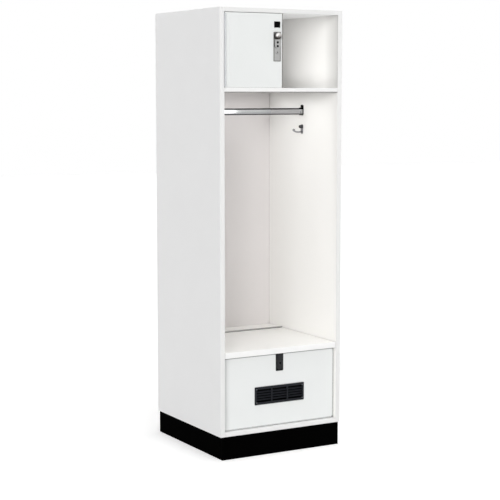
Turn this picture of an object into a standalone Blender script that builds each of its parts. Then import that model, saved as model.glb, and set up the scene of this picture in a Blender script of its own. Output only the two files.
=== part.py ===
"""Open-front wooden gear locker: upper compartment with a door, hanging space, and a seat that lifts."""

import math

import bmesh
import bpy
from mathutils import Matrix, Vector

# Units are metres. X runs to the right, Y to the back and Z up, from the floor below the middle of the box.

# Case
LOCKER_WIDTH = 0.6096
LOCKER_DEPTH = 0.6096
CASE_HEIGHT = 1.8288
SIDE_THICKNESS = 0.022
BOARD_THICKNESS = 0.019
BACK_SETBACK = 0.006
BOARD_EDGE_RADIUS = 0.0008
JOINT_GAP = 0.0003
CUT_OVERRUN = 0.002

# Base
BASE_HEIGHT = 0.1016
BASE_SIDE_INSET = 0.008
BASE_RAIL_THICKNESS = 0.018

# Upper compartments
UPPER_CLEAR_HEIGHT = 0.3163
DOOR_THICKNESS = 0.019
DOOR_GAP = 0.002
DOOR_STOP_GAP = 0.0008

# Continuous hinges, one on the door and one on the seat lid
HINGE_BARREL_RADIUS = 0.0032
HINGE_PIN_RADIUS = 0.0014
HINGE_PIN_CLEARANCE = 0.0003
HINGE_LEAF_THICKNESS = 0.0012
HINGE_LEAF_WIDTH = 0.016
HINGE_LEAF_SPACING = 0.0004
HINGE_KNUCKLE_LENGTH = 0.024
HINGE_KNUCKLE_GAP = 0.0004
HINGE_END_INSET = 0.004
HINGE_ARC_STEPS = 12

# Seat and foot locker
SEAT_HEIGHT = 0.4675
SEAT_THICKNESS = 0.025
LID_DEPTH = 0.457
LID_SIDE_GAP = 0.0015
LID_EDGE_RADIUS = 0.002
FRONT_PANEL_RECESS = 0.019
FRONT_PANEL_SIDE_GAP = 0.0015
CLEAT_THICKNESS = 0.019
CLEAT_HEIGHT = 0.038

# Vent grille in the foot locker's front
GRILLE_WIDTH = 0.250
GRILLE_HEIGHT = 0.078
GRILLE_THICKNESS = 0.003
GRILLE_HEIGHT_SHARE = 0.574
GRILLE_COLUMNS = 3
GRILLE_ROWS = 5
GRILLE_SIDE_BORDER = 0.009
GRILLE_HEAD_BORDER = 0.0105
GRILLE_BAR_WIDTH = 0.007
GRILLE_EDGE_RADIUS = 0.0008
LOUVRE_THICKNESS = 0.0016
LOUVRE_DEPTH = 0.0085
LOUVRE_TILT = math.radians(38.0)
LOUVRE_EMBED = 0.0006
LOUVRE_SETBACK = 0.0004
VENT_WINDOW_MARGIN = 0.0012

# Cam lock of the foot locker
FOOT_LOCK_WIDTH = 0.036
FOOT_LOCK_HEIGHT = 0.079
FOOT_LOCK_PLATE_THICKNESS = 0.0022
FOOT_LOCK_TOP_GAP = 0.0008
FOOT_LOCK_CORNER = 0.002
FOOT_LOCK_AXIS_DROP = 0.0445
FOOT_BOSS_WIDTH = 0.027
FOOT_BOSS_HEIGHT = 0.068
FOOT_BOSS_RISE = 0.003
FOOT_BOSS_TOP_MARGIN = 0.004
FOOT_BARREL_RADIUS = 0.0098
FOOT_BARREL_CLEARANCE = 0.0005
FOOT_PLUG_RADIUS = 0.0072
FOOT_PLUG_CLEARANCE = 0.0004
FOOT_PLUG_RISE = 0.0012
KEYWAY_WIDTH = 0.0032
KEYWAY_LENGTH = 0.0115
KEYWAY_DEPTH = 0.004
KEYWAY_SHARE = 0.55
FOOT_NUT_RADIUS = 0.0145
FOOT_NUT_THICKNESS = 0.004
FOOT_BARREL_BEHIND = 0.0095
CAM_THICKNESS = 0.003
CAM_WIDTH = 0.014
CAM_REACH = 0.028
CAM_STEM_RADIUS = 0.0035
CAM_STEM_BEHIND = 0.002
KEEPER_SIDE_OFFSET = 0.0165
KEEPER_WIDTH = 0.014
KEEPER_THICKNESS = 0.002
KEEPER_CAM_GAP = 0.001
KEEPER_LIP_REACH = 0.0045
KEEPER_FOOT_LENGTH = 0.020

# Latch of the door
LATCH_BACKSET = 0.025
LATCH_PLATE_WIDTH = 0.035
LATCH_PLATE_HEIGHT = 0.124
LATCH_PLATE_THICKNESS = 0.002
LATCH_PLATE_CORNER = 0.002
LATCH_PLATE_ABOVE_DOOR_FOOT = 0.1108
KNOB_BELOW_PLATE_TOP = 0.0172
KNOB_RADIUS = 0.0145
KNOB_LENGTH = 0.020
KNOB_NECK_RADIUS = 0.008
KNOB_NECK_LENGTH = 0.005
KNOB_CROWN_RADIUS = 0.009
KNOB_HEEL_HEIGHT = 0.004
SPINDLE_RADIUS = 0.004
SPINDLE_CLEARANCE = 0.0005
TAB_WIDTH = 0.029
TAB_HEIGHT = 0.037
TAB_RISE = 0.004
TAB_BELOW_KNOB = 0.0005
TAB_HOLE_RADIUS = 0.0044
TAB_HOLE_SPACING = 0.016
TAB_UPPER_HOLE_DROP = 0.0117
KEY_RING_RADIUS = 0.0062
KEY_PLUG_RADIUS = 0.0045
KEY_PLUG_RISE = 0.0016
KEY_PLUG_LENGTH = 0.012
KEY_PLUG_CLEARANCE = 0.0004
KEY_BELOW_KNOB = 0.069
TONGUE_THICKNESS = 0.003
TONGUE_WIDTH = 0.011
TONGUE_TIP_GAP = 0.001
TONGUE_BEHIND_DOOR = 0.006
SPINDLE_BEHIND_TONGUE = 0.002
SPINDLE_NUT_RADIUS = 0.0075
SPINDLE_NUT_THICKNESS = 0.004
STRIKE_THICKNESS = 0.002
STRIKE_LIP = 0.006
STRIKE_LEG = 0.022
STRIKE_HEIGHT = 0.040
STRIKE_TONGUE_GAP = 0.0008

# Number plate on the door
NUMBER_PLATE_WIDTH = 0.0292
NUMBER_PLATE_HEIGHT = 0.0256
NUMBER_PLATE_THICKNESS = 0.0012
NUMBER_PLATE_ABOVE_LATCH = 0.0186

# Hanging rail
RAIL_HEIGHT = 0.030
RAIL_DEPTH = 0.015
RAIL_WALL = 0.0012
RAIL_BELOW_SHELF = 0.085
RAIL_ARC_STEPS = 10
SUPPORT_CLEARANCE = 0.0004
SUPPORT_COLLAR_WALL = 0.0018
SUPPORT_COLLAR_LENGTH = 0.012
SUPPORT_PLATE_THICKNESS = 0.0025
SUPPORT_PLATE_WIDTH = 0.024
SUPPORT_REACH_UP = 0.030
SUPPORT_REACH_DOWN = 0.0175
SUPPORT_CORNER = 0.008

# Coat hooks
HOOK_BELOW_SHELF = 0.166
HOOK_PLATE_HEIGHT = 0.042
HOOK_PLATE_WIDTH = 0.018
HOOK_PLATE_THICKNESS = 0.003
HOOK_PLATE_CORNER = 0.006
HOOK_REACH = 0.051
HOOK_ROOT_DROP = 0.010
HOOK_BEND_DROP = 0.034
HOOK_LEAVE_SHARE = 0.3
HOOK_BEND_SHARE = 0.72
HOOK_TIP_DROP = 0.003
HOOK_WIRE_RADIUS = 0.0036
HOOK_BALL_RADIUS = 0.0062
HOOK_WIRE_STEPS = 14
HOOK_PEG_RISE = 0.0115
HOOK_PEG_REACH = 0.017
HOOK_PEG_RADIUS = 0.0045
HOOK_PEG_HEAD_RADIUS = 0.0078
HOOK_PEG_HEAD_LENGTH = 0.007
HOOK_PEG_SIDES = 16

# Edges and the fineness of round shapes
SMALL_EDGE = 0.0004
WELD_DISTANCE = 0.00002
ROUND_SIDES = 28
BALL_SIDES = 16
BALL_RINGS = 10
HEXAGON = 6
CORNER_STEPS = 5

# Places worked out from the sizes above
KNOB_STAND_OFF = LATCH_PLATE_THICKNESS + 2 * JOINT_GAP + KNOB_LENGTH
FRONT_Y = (KNOB_STAND_OFF - LOCKER_DEPTH) / 2
REAR_Y = FRONT_Y + LOCKER_DEPTH
LEFT_INNER_X = SIDE_THICKNESS - LOCKER_WIDTH / 2
RIGHT_INNER_X = -LEFT_INNER_X
TOTAL_HEIGHT = BASE_HEIGHT + CASE_HEIGHT
FLOOR_TOP_Z = BASE_HEIGHT + BOARD_THICKNESS
TOP_UNDERSIDE_Z = TOTAL_HEIGHT - BOARD_THICKNESS
SHELF_TOP_Z = TOP_UNDERSIDE_Z - UPPER_CLEAR_HEIGHT
SHELF_UNDERSIDE_Z = SHELF_TOP_Z - BOARD_THICKNESS
BACK_FRONT_Y = REAR_Y - BACK_SETBACK - BOARD_THICKNESS
SEAT_UNDERSIDE_Z = SEAT_HEIGHT - SEAT_THICKNESS
MID_DEPTH_Y = (FRONT_Y + BACK_FRONT_Y) / 2

HINGE_GAP = 2 * (JOINT_GAP + HINGE_LEAF_THICKNESS) + HINGE_LEAF_SPACING
HINGE_STAND_OFF = HINGE_BARREL_RADIUS + JOINT_GAP

DOOR_LEFT_X = LEFT_INNER_X + HINGE_GAP
DOOR_RIGHT_X = -DOOR_GAP
DOOR_FOOT_Z = SHELF_TOP_Z + DOOR_GAP
DOOR_HEAD_Z = TOP_UNDERSIDE_Z - DOOR_GAP
DOOR_BACK_Y = FRONT_Y + DOOR_THICKNESS
DOOR_MID_Z = (DOOR_FOOT_Z + DOOR_HEAD_Z) / 2
DOOR_AXIS = Vector((LEFT_INNER_X + HINGE_GAP / 2, FRONT_Y - HINGE_STAND_OFF, DOOR_MID_Z))

LID_REAR_Y = FRONT_Y + LID_DEPTH
LEDGE_FRONT_Y = LID_REAR_Y + HINGE_GAP
LID_AXIS = Vector((0.0, LID_REAR_Y + HINGE_GAP / 2, SEAT_HEIGHT + HINGE_STAND_OFF))

PANEL_FRONT_Y = FRONT_Y + FRONT_PANEL_RECESS
PANEL_BACK_Y = PANEL_FRONT_Y + BOARD_THICKNESS
PANEL_FOOT_Z = FLOOR_TOP_Z + JOINT_GAP
PANEL_HEAD_Z = SEAT_UNDERSIDE_Z - JOINT_GAP

LATCH_X = DOOR_RIGHT_X - LATCH_BACKSET
LATCH_PLATE_FOOT_Z = DOOR_FOOT_Z + LATCH_PLATE_ABOVE_DOOR_FOOT
LATCH_PLATE_HEAD_Z = LATCH_PLATE_FOOT_Z + LATCH_PLATE_HEIGHT
KNOB_Z = LATCH_PLATE_HEAD_Z - KNOB_BELOW_PLATE_TOP
KNOB_AXIS = Vector((LATCH_X, FRONT_Y, KNOB_Z))
KEY_AXIS = Vector((LATCH_X, FRONT_Y, KNOB_Z - KEY_BELOW_KNOB))

FOOT_LOCK_HEAD_Z = PANEL_HEAD_Z - FOOT_LOCK_TOP_GAP
FOOT_LOCK_FOOT_Z = FOOT_LOCK_HEAD_Z - FOOT_LOCK_HEIGHT
FOOT_LOCK_AXIS = Vector((0.0, PANEL_FRONT_Y, FOOT_LOCK_HEAD_Z - FOOT_LOCK_AXIS_DROP))
GRILLE_Z = PANEL_FOOT_Z + GRILLE_HEIGHT_SHARE * (FOOT_LOCK_FOOT_Z - PANEL_FOOT_Z)

RAIL_Z = SHELF_UNDERSIDE_Z - RAIL_BELOW_SHELF
HOOK_Z = SHELF_UNDERSIDE_Z - HOOK_BELOW_SHELF


def start_scene():
    """Empty the file and make one collection for the locker and one for its cutters."""
    for thing in list(bpy.data.objects):
        bpy.data.objects.remove(thing)
    for name in ("gear_locker", "cutters"):
        bpy.context.scene.collection.children.link(bpy.data.collections.new(name))


def paint(name, colour, roughness, metallic):
    """A Principled material of one colour."""
    material = bpy.data.materials.new(name)
    material.use_nodes = True
    shader = material.node_tree.nodes["Principled BSDF"]
    shader.inputs["Base Color"].default_value = (*colour, 1.0)
    shader.inputs["Roughness"].default_value = roughness
    shader.inputs["Metallic"].default_value = metallic
    return material


def facing(origin, across, up):
    """A place whose X runs along across, Y along up, and Z out of the face they span."""
    across = Vector(across)
    up = Vector(up)
    turn = Matrix((across, up, across.cross(up))).transposed().to_4x4()
    return Matrix.Translation(origin) @ turn


def on_front(origin):
    """A place on a front face: X to the right, Y up and Z out towards the front."""
    return facing(origin, (1, 0, 0), (0, 0, 1))


def on_wall(side, depth, height):
    """A place on the inner face of the left (-1) or right (1) side: Y up and Z into the locker."""
    origin = Vector((side * (RIGHT_INNER_X - JOINT_GAP), depth, height))
    return facing(origin, (0, -side, 0), (0, 0, 1))


def add_object(name, mesh, place, material=None):
    """Link a mesh as an object, among the cutters if it has no material."""
    thing = bpy.data.objects.new(name, mesh)
    thing.matrix_world = place
    if material is None:
        thing.hide_render = True
        thing.hide_viewport = True
        thing.display_type = "WIRE"
        bpy.data.collections["cutters"].objects.link(thing)
    else:
        mesh.materials.append(material)
        bpy.data.collections["gear_locker"].objects.link(thing)
    return thing


def from_bmesh(name, shape):
    """Turn a bmesh into a mesh."""
    mesh = bpy.data.meshes.new(name)
    shape.to_mesh(mesh)
    shape.free()
    return mesh


def block(name, low, high, material=None, place=Matrix.Identity(4)):
    """A box between two corners."""
    low = Vector(low)
    high = Vector(high)
    shape = bmesh.new()
    bmesh.ops.create_cube(shape, size=1.0, matrix=Matrix.Diagonal((*(high - low), 1.0)))
    return add_object(name, from_bmesh(name, shape), place @ Matrix.Translation((low + high) / 2), material)


def rod(name, radius, low, high, place, material=None, sides=ROUND_SIDES):
    """A cylinder along the place's Z axis, from height low to height high."""
    shape = bmesh.new()
    bmesh.ops.create_cone(
        shape, cap_ends=True, segments=sides, radius1=radius, radius2=radius, depth=high - low
    )
    middle = Matrix.Translation((0, 0, (low + high) / 2))
    return add_object(name, from_bmesh(name, shape), place @ middle, material)


def mesh_of(curve_object):
    """Replace a curve object by its mesh, with the loose caps welded on."""
    bpy.context.view_layer.update()
    seen = curve_object.evaluated_get(bpy.context.evaluated_depsgraph_get())
    mesh = bpy.data.meshes.new_from_object(seen)
    shape = bmesh.new()
    shape.from_mesh(mesh)
    bmesh.ops.remove_doubles(shape, verts=shape.verts, dist=WELD_DISTANCE)
    bmesh.ops.recalc_face_normals(shape, faces=shape.faces)
    shape.to_mesh(mesh)
    shape.free()
    bpy.data.objects.remove(curve_object)
    return mesh


def plate(name, outlines, low, high, place, material=None):
    """A flat outline, the first of the list, less the holes that follow it, from height low to high."""
    curve = bpy.data.curves.new(name, "CURVE")
    curve.dimensions = "2D"
    curve.fill_mode = "BOTH"
    curve.extrude = (high - low) / 2
    for points in outlines:
        spline = curve.splines.new("POLY")
        spline.points.add(len(points) - 1)
        for point, (x, y) in zip(spline.points, points):
            point.co = (x, y, 0, 1)
        spline.use_cyclic_u = True
    flat = bpy.data.objects.new(name, curve)
    bpy.data.collections["cutters"].objects.link(flat)
    mesh = mesh_of(flat)
    return add_object(name, mesh, place @ Matrix.Translation((0, 0, (low + high) / 2)), material)


def turned(name, profile, place, material=None, sides=ROUND_SIDES):
    """A turned piece: a profile of (radius, height) from its top down, screwed round the place's Z axis."""
    mesh = bpy.data.meshes.new(name)
    points = [(radius, 0, height) for radius, height in profile]
    mesh.from_pydata(points, [(k, k + 1) for k in range(len(points) - 1)], [])
    thing = add_object(name, mesh, place, material)
    screw = thing.modifiers.new("turn", "SCREW")
    screw.steps = sides
    screw.render_steps = sides
    screw.use_merge_vertices = True
    screw.merge_threshold = WELD_DISTANCE
    screw.use_smooth_shade = True
    return thing


def soften(thing, width, segments=2):
    """Round the sharp edges by a bevel."""
    bevel = thing.modifiers.new("edge", "BEVEL")
    bevel.width = width
    bevel.segments = segments
    bevel.limit_method = "ANGLE"
    bevel.harden_normals = False
    return thing


def combine(thing, tool, operation):
    """Add one boolean operation to a piece."""
    boolean = thing.modifiers.new(tool.name, "BOOLEAN")
    boolean.operation = operation
    boolean.solver = "EXACT"
    boolean.object = tool


def cut(thing, tool):
    """Cut a tool out of a piece."""
    combine(thing, tool, "DIFFERENCE")


def join(thing, tool):
    """Join a tool on to a piece."""
    combine(thing, tool, "UNION")


def arc(centre, radius, first, last, steps):
    """Points on an arc, both ends included, with angles in degrees."""
    angles = [math.radians(first + (last - first) * k / steps) for k in range(steps + 1)]
    return [(centre[0] + radius * math.cos(a), centre[1] + radius * math.sin(a)) for a in angles]


def rounded(low, high, foot_radius, head_radius=None):
    """A rectangle between two corners, with one radius for its foot's corners and one for its head's."""
    head_radius = foot_radius if head_radius is None else head_radius
    corners = (
        (high[0] - head_radius, high[1] - head_radius, head_radius, 0),
        (low[0] + head_radius, high[1] - head_radius, head_radius, 90),
        (low[0] + foot_radius, low[1] + foot_radius, foot_radius, 180),
        (high[0] - foot_radius, low[1] + foot_radius, foot_radius, 270),
    )
    points = []
    for x, y, radius, start in corners:
        points += arc((x, y), radius, start, start + 90, CORNER_STEPS)
    return points


def centred(width, height, radius):
    """A rounded rectangle about the origin."""
    return rounded((-width / 2, -height / 2), (width / 2, height / 2), radius)


def stadium(width, height):
    """An upright oval of two half rounds and two straight sides."""
    offset = (height - width) / 2
    head = arc((0, offset), width / 2, 0, 180, RAIL_ARC_STEPS)
    return head + arc((0, -offset), width / 2, 180, 360, RAIL_ARC_STEPS)


def circle(radius, sides=ROUND_SIDES):
    """A round outline."""
    return arc((0, 0), radius, 0, 360 * (sides - 1) / sides, sides - 1)


def board(name, low, high, material):
    """A board with its edges just broken."""
    return soften(block(name, low, high, material), BOARD_EDGE_RADIUS)


def build_case(white):
    """Two sides, floor, top, back, the shelf under the compartments and the divider between them."""
    half = LOCKER_WIDTH / 2
    board("left_side", (-half, FRONT_Y, BASE_HEIGHT), (LEFT_INNER_X, REAR_Y, TOTAL_HEIGHT), white)
    board("right_side", (RIGHT_INNER_X, FRONT_Y, BASE_HEIGHT), (half, REAR_Y, TOTAL_HEIGHT), white)
    left = LEFT_INNER_X + JOINT_GAP
    right = RIGHT_INNER_X - JOINT_GAP
    back = BACK_FRONT_Y - JOINT_GAP
    board("bottom_panel", (left, FRONT_Y, BASE_HEIGHT), (right, REAR_Y, FLOOR_TOP_Z), white)
    board("top_panel", (left, FRONT_Y, TOP_UNDERSIDE_Z), (right, REAR_Y, TOTAL_HEIGHT), white)
    foot = FLOOR_TOP_Z + JOINT_GAP
    head = TOP_UNDERSIDE_Z - JOINT_GAP
    board("back_panel", (left, BACK_FRONT_Y, foot), (right, REAR_Y - BACK_SETBACK, head), white)
    board("compartment_shelf", (left, FRONT_Y, SHELF_UNDERSIDE_Z), (right, back, SHELF_TOP_Z), white)
    front = DOOR_BACK_Y + DOOR_STOP_GAP
    low = (-BOARD_THICKNESS / 2, front, SHELF_TOP_Z + JOINT_GAP)
    board("compartment_divider", low, (BOARD_THICKNESS / 2, back, head), white)


def build_base(black):
    """Four rails on edge: a long one at the front and the back, and two between them."""
    half = LOCKER_WIDTH / 2 - BASE_SIDE_INSET
    head = BASE_HEIGHT - JOINT_GAP
    thick = BASE_RAIL_THICKNESS
    board("base_front_rail", (-half, FRONT_Y, 0), (half, FRONT_Y + thick, head), black)
    board("base_rear_rail", (-half, REAR_Y - thick, 0), (half, REAR_Y, head), black)
    front = FRONT_Y + thick + JOINT_GAP
    back = REAR_Y - thick - JOINT_GAP
    board("base_left_rail", (-half, front, 0), (thick - half, back, head), black)
    board("base_right_rail", (half - thick, front, 0), (half, back, head), black)


def hinge_leaf(name, side, knuckles, length, first, place, material):
    """One leaf of a continuous hinge, on the +X or -X side of its pin, with every other knuckle left on it.

    The pin runs along the place's Z axis and the leaves along its Y axis, from the barrel into the gap.
    The outline is the barrel and leaf as one curled strip round a bore, and the notches take the knuckles
    of the other leaf.
    """
    near = side * HINGE_LEAF_SPACING / 2
    far = near + side * HINGE_LEAF_THICKNESS
    end = HINGE_STAND_OFF + HINGE_LEAF_WIDTH
    radius = HINGE_BARREL_RADIUS
    start = math.degrees(math.acos(far / radius))
    stop = math.degrees(math.acos(near / radius))
    sweep = side * 360
    outline = [(far, end)] + arc((0, 0), radius, start, stop - sweep, HINGE_ARC_STEPS) + [(near, end)]
    bore = circle(HINGE_PIN_RADIUS + HINGE_PIN_CLEARANCE, HINGE_ARC_STEPS)
    leaf = plate(name, [outline, bore], -length / 2, length / 2, place, material)
    pitch = length / knuckles
    reach = radius + HINGE_KNUCKLE_GAP
    for k in range(1 - first, knuckles, 2):
        low = -length / 2 + k * pitch - HINGE_KNUCKLE_GAP
        high = low + pitch + 2 * HINGE_KNUCKLE_GAP
        low -= CUT_OVERRUN if k == 0 else 0
        high += CUT_OVERRUN if k == knuckles - 1 else 0
        cut(leaf, block(f"{name}_notch_{k}", (-reach, -reach, low), (reach, reach, high), None, place))
    return leaf


def build_hinge(fixed_name, moving_name, pin_name, moving_side, span, place, metal):
    """A continuous hinge: two leaves whose knuckles alternate along one pin."""
    length = span - 2 * HINGE_END_INSET
    knuckles = 2 * round(length / HINGE_KNUCKLE_LENGTH / 2) + 1
    hinge_leaf(fixed_name, -moving_side, knuckles, length, 0, place, metal)
    hinge_leaf(moving_name, moving_side, knuckles, length, 1, place, metal)
    rod(pin_name, HINGE_PIN_RADIUS, -length / 2, length / 2, place, metal, HINGE_ARC_STEPS)


def build_door(white, nickel):
    """The upper door, drilled for its latch and key plug, and its hinge along the left edge."""
    low = (DOOR_LEFT_X, FRONT_Y, DOOR_FOOT_Z)
    high = (DOOR_RIGHT_X, DOOR_BACK_Y, DOOR_HEAD_Z)
    door = board("upper_door", low, high, white)
    through = DOOR_THICKNESS + CUT_OVERRUN
    place = on_front(KNOB_AXIS)
    cut(door, rod("door_spindle_bore", SPINDLE_RADIUS + SPINDLE_CLEARANCE, -through, CUT_OVERRUN, place))
    depth = KEY_PLUG_LENGTH + JOINT_GAP
    plug_bore = KEY_PLUG_RADIUS + KEY_PLUG_CLEARANCE
    cut(door, rod("door_key_bore", plug_bore, -depth, CUT_OVERRUN, on_front(KEY_AXIS)))
    upright = facing(DOOR_AXIS, (1, 0, 0), (0, 1, 0))
    span = DOOR_HEAD_Z - DOOR_FOOT_Z
    build_hinge("door_hinge_side_leaf", "door_hinge_door_leaf", "door_hinge_pin", 1, span, upright, nickel)


def build_number_plate(black):
    """The blank number plate above the latch."""
    foot = LATCH_PLATE_HEAD_Z + NUMBER_PLATE_ABOVE_LATCH
    place = on_front((LATCH_X, FRONT_Y, foot + NUMBER_PLATE_HEIGHT / 2))
    outline = centred(NUMBER_PLATE_WIDTH, NUMBER_PLATE_HEIGHT, BOARD_EDGE_RADIUS)
    high = JOINT_GAP + NUMBER_PLATE_THICKNESS
    soften(plate("number_plate", [outline], JOINT_GAP, high, place, black), SMALL_EDGE)


def tongue_outline(width, reach):
    """A tongue that hangs from a round head about the origin to a round tip."""
    half = width / 2
    head = arc((0, 0), half, 0, 180, 2 * CORNER_STEPS)
    return head + arc((0, half - reach), half, 180, 360, 2 * CORNER_STEPS)


def build_latch(nickel, zinc):
    """The door's latch: plate, knob on its spindle, nut, tongue and key plug, and the strike it meets."""
    place = on_front(KNOB_AXIS)
    half = LATCH_PLATE_WIDTH / 2
    face = JOINT_GAP + LATCH_PLATE_THICKNESS
    foot = KNOB_BELOW_PLATE_TOP - LATCH_PLATE_HEIGHT
    outline = rounded((-half, foot), (half, KNOB_BELOW_PLATE_TOP), LATCH_PLATE_CORNER)
    base = soften(plate("latch_plate", [outline], JOINT_GAP, face, place, nickel), SMALL_EDGE)
    tab_head = -KNOB_RADIUS - TAB_BELOW_KNOB
    tab_corners = ((-TAB_WIDTH / 2, tab_head - TAB_HEIGHT), (TAB_WIDTH / 2, tab_head))
    tab_outline = rounded(*tab_corners, TAB_WIDTH / 2 - SMALL_EDGE, SMALL_EDGE)
    tab = plate("latch_tab", [tab_outline], JOINT_GAP + SMALL_EDGE, face + TAB_RISE, place)
    join(base, soften(tab, SMALL_EDGE))
    for k in range(2):
        drop = tab_head - TAB_UPPER_HOLE_DROP - k * TAB_HOLE_SPACING
        hole = place @ Matrix.Translation((0, drop, 0))
        cut(base, rod(f"tab_hole_{k}", TAB_HOLE_RADIUS, face, face + TAB_RISE + CUT_OVERRUN, hole))
    key_place = on_front(KEY_AXIS)
    join(base, rod("key_ring", KEY_RING_RADIUS, JOINT_GAP + SMALL_EDGE, face + KEY_PLUG_RISE, key_place))
    plug_bore = KEY_PLUG_RADIUS + KEY_PLUG_CLEARANCE
    plug_head = face + KEY_PLUG_RISE
    cut(base, rod("plate_key_bore", plug_bore, -CUT_OVERRUN, plug_head + CUT_OVERRUN, key_place))
    spindle_bore = SPINDLE_RADIUS + SPINDLE_CLEARANCE
    cut(base, rod("plate_spindle_bore", spindle_bore, -CUT_OVERRUN, face + CUT_OVERRUN, place))

    plug = rod("key_plug", KEY_PLUG_RADIUS, -KEY_PLUG_LENGTH, plug_head, key_place, nickel)
    cut(plug, keyway("key_slot", plug_head, KEYWAY_SHARE, key_place))

    root = face + JOINT_GAP
    neck = root + KNOB_NECK_LENGTH
    head = root + KNOB_LENGTH
    tongue_front = -DOOR_THICKNESS - TONGUE_BEHIND_DOOR
    tongue_back = tongue_front - TONGUE_THICKNESS
    end = tongue_back - SPINDLE_BEHIND_TONGUE
    crown_centre = (KNOB_RADIUS - KNOB_CROWN_RADIUS, head - KNOB_CROWN_RADIUS)
    crown = arc(crown_centre, KNOB_CROWN_RADIUS, 90, 0, CORNER_STEPS)
    heel = [(KNOB_RADIUS, neck + KNOB_HEEL_HEIGHT), (KNOB_NECK_RADIUS, neck), (KNOB_NECK_RADIUS, root)]
    stem = [(SPINDLE_RADIUS, root), (SPINDLE_RADIUS, end), (0, end)]
    turned("latch_knob", [(0, head)] + crown + heel + stem, place, nickel)

    tongue_bore = circle(spindle_bore)
    reach = -LATCH_X - BOARD_THICKNESS / 2 - JOINT_GAP - STRIKE_THICKNESS - TONGUE_TIP_GAP
    shape = [tongue_outline(TONGUE_WIDTH, reach), tongue_bore]
    plate("latch_tongue", shape, tongue_back, tongue_front, place, zinc)
    nut_head = -DOOR_THICKNESS - JOINT_GAP
    nut = [circle(SPINDLE_NUT_RADIUS, HEXAGON), tongue_bore]
    plate("latch_nut", nut, nut_head - SPINDLE_NUT_THICKNESS, nut_head, place, zinc)

    strike_face = DOOR_BACK_Y + TONGUE_BEHIND_DOOR - STRIKE_TONGUE_GAP
    corner = Vector((-BOARD_THICKNESS / 2 - JOINT_GAP, strike_face, KNOB_Z))
    thick = STRIKE_THICKNESS
    lip = -thick - STRIKE_LIP
    angle = [(0, -thick), (0, STRIKE_LEG), (-thick, STRIKE_LEG), (-thick, 0), (lip, 0), (lip, -thick)]
    half = STRIKE_HEIGHT / 2
    plate("latch_strike", [angle], -half, half, facing(corner, (1, 0, 0), (0, 1, 0)), zinc)


def keyway(name, face, share, place):
    """A cutter for the upright slot that a key goes in, sunk from a plug's face."""
    half = Vector((KEYWAY_WIDTH / 2, KEYWAY_LENGTH / 2)) * share
    high = (half.x, half.y, face + CUT_OVERRUN)
    return block(name, (-half.x, -half.y, face - KEYWAY_DEPTH), high, None, place)


def build_seat(white, nickel):
    """The lid, the fixed ledge behind it, their continuous hinge, and the cleats they rest on."""
    left = LEFT_INNER_X + JOINT_GAP
    right = RIGHT_INNER_X - JOINT_GAP
    back = BACK_FRONT_Y - JOINT_GAP
    low = (LEFT_INNER_X + LID_SIDE_GAP, FRONT_Y, SEAT_UNDERSIDE_Z)
    high = (RIGHT_INNER_X - LID_SIDE_GAP, LID_REAR_Y, SEAT_HEIGHT)
    soften(block("seat_lid", low, high, white), LID_EDGE_RADIUS)
    board("seat_ledge", (left, LEDGE_FRONT_Y, SEAT_UNDERSIDE_Z), (right, back, SEAT_HEIGHT), white)
    span = LOCKER_WIDTH - 2 * SIDE_THICKNESS - 2 * LID_SIDE_GAP
    across = facing(LID_AXIS, (0, 1, 0), (0, 0, -1))
    build_hinge("lid_hinge_ledge_leaf", "lid_hinge_lid_leaf", "lid_hinge_pin", -1, span, across, nickel)
    head = SEAT_UNDERSIDE_Z - JOINT_GAP
    foot = head - CLEAT_HEIGHT
    front = PANEL_BACK_Y + JOINT_GAP
    inner_left = left + CLEAT_THICKNESS
    inner_right = right - CLEAT_THICKNESS
    board("left_cleat", (left, front, foot), (inner_left, back, head), white)
    board("right_cleat", (inner_right, front, foot), (right, back, head), white)
    low = (inner_left + JOINT_GAP, back - CLEAT_THICKNESS, foot)
    board("rear_cleat", low, (inner_right - JOINT_GAP, back, head), white)


def louvre_windows():
    """The left and right edge of each column of louvres, from the middle of the grille."""
    clear = GRILLE_WIDTH - 2 * GRILLE_SIDE_BORDER - (GRILLE_COLUMNS - 1) * GRILLE_BAR_WIDTH
    width = clear / GRILLE_COLUMNS
    first = -GRILLE_WIDTH / 2 + GRILLE_SIDE_BORDER
    lefts = [first + k * (width + GRILLE_BAR_WIDTH) for k in range(GRILLE_COLUMNS)]
    return [(left, left + width) for left in lefts]


def grille_place():
    """The middle of the grille, on the front of the foot locker."""
    return on_front((0, PANEL_FRONT_Y, GRILLE_Z))


def build_grille(black):
    """The vent grille: a plate with columns of windows, each crossed by tilted louvres."""
    place = grille_place()
    half = Vector((GRILLE_WIDTH / 2, GRILLE_HEIGHT / 2))
    face = JOINT_GAP + GRILLE_THICKNESS
    grille = block("vent_grille", (-half.x, -half.y, JOINT_GAP), (half.x, half.y, face), black, place)
    soften(grille, GRILLE_EDGE_RADIUS)
    window_half = half.y - GRILLE_HEAD_BORDER
    pitch = 2 * window_half / GRILLE_ROWS
    tilt = Matrix.Rotation(LOUVRE_TILT, 4, "X")
    blade = Vector((LOUVRE_THICKNESS / 2, LOUVRE_DEPTH / 2))
    blade_reach = blade.x * math.sin(LOUVRE_TILT) + blade.y * math.cos(LOUVRE_TILT)
    blade_middle = face - LOUVRE_SETBACK - blade_reach
    for column, (left, right) in enumerate(louvre_windows()):
        low = (left, -window_half, JOINT_GAP - CUT_OVERRUN)
        high = (right, window_half, face + CUT_OVERRUN)
        cut(grille, block(f"grille_window_{column}", low, high, None, place))
        middle = (left + right) / 2
        reach = (right - left) / 2 + LOUVRE_EMBED
        for row in range(1, GRILLE_ROWS):
            height = row * pitch - window_half
            blade_place = place @ Matrix.Translation((middle, height, blade_middle)) @ tilt
            low = (-reach, -blade.x, -blade.y)
            high = (reach, blade.x, blade.y)
            join(grille, block(f"louvre_{column}_{row}", low, high, None, blade_place))


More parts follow.
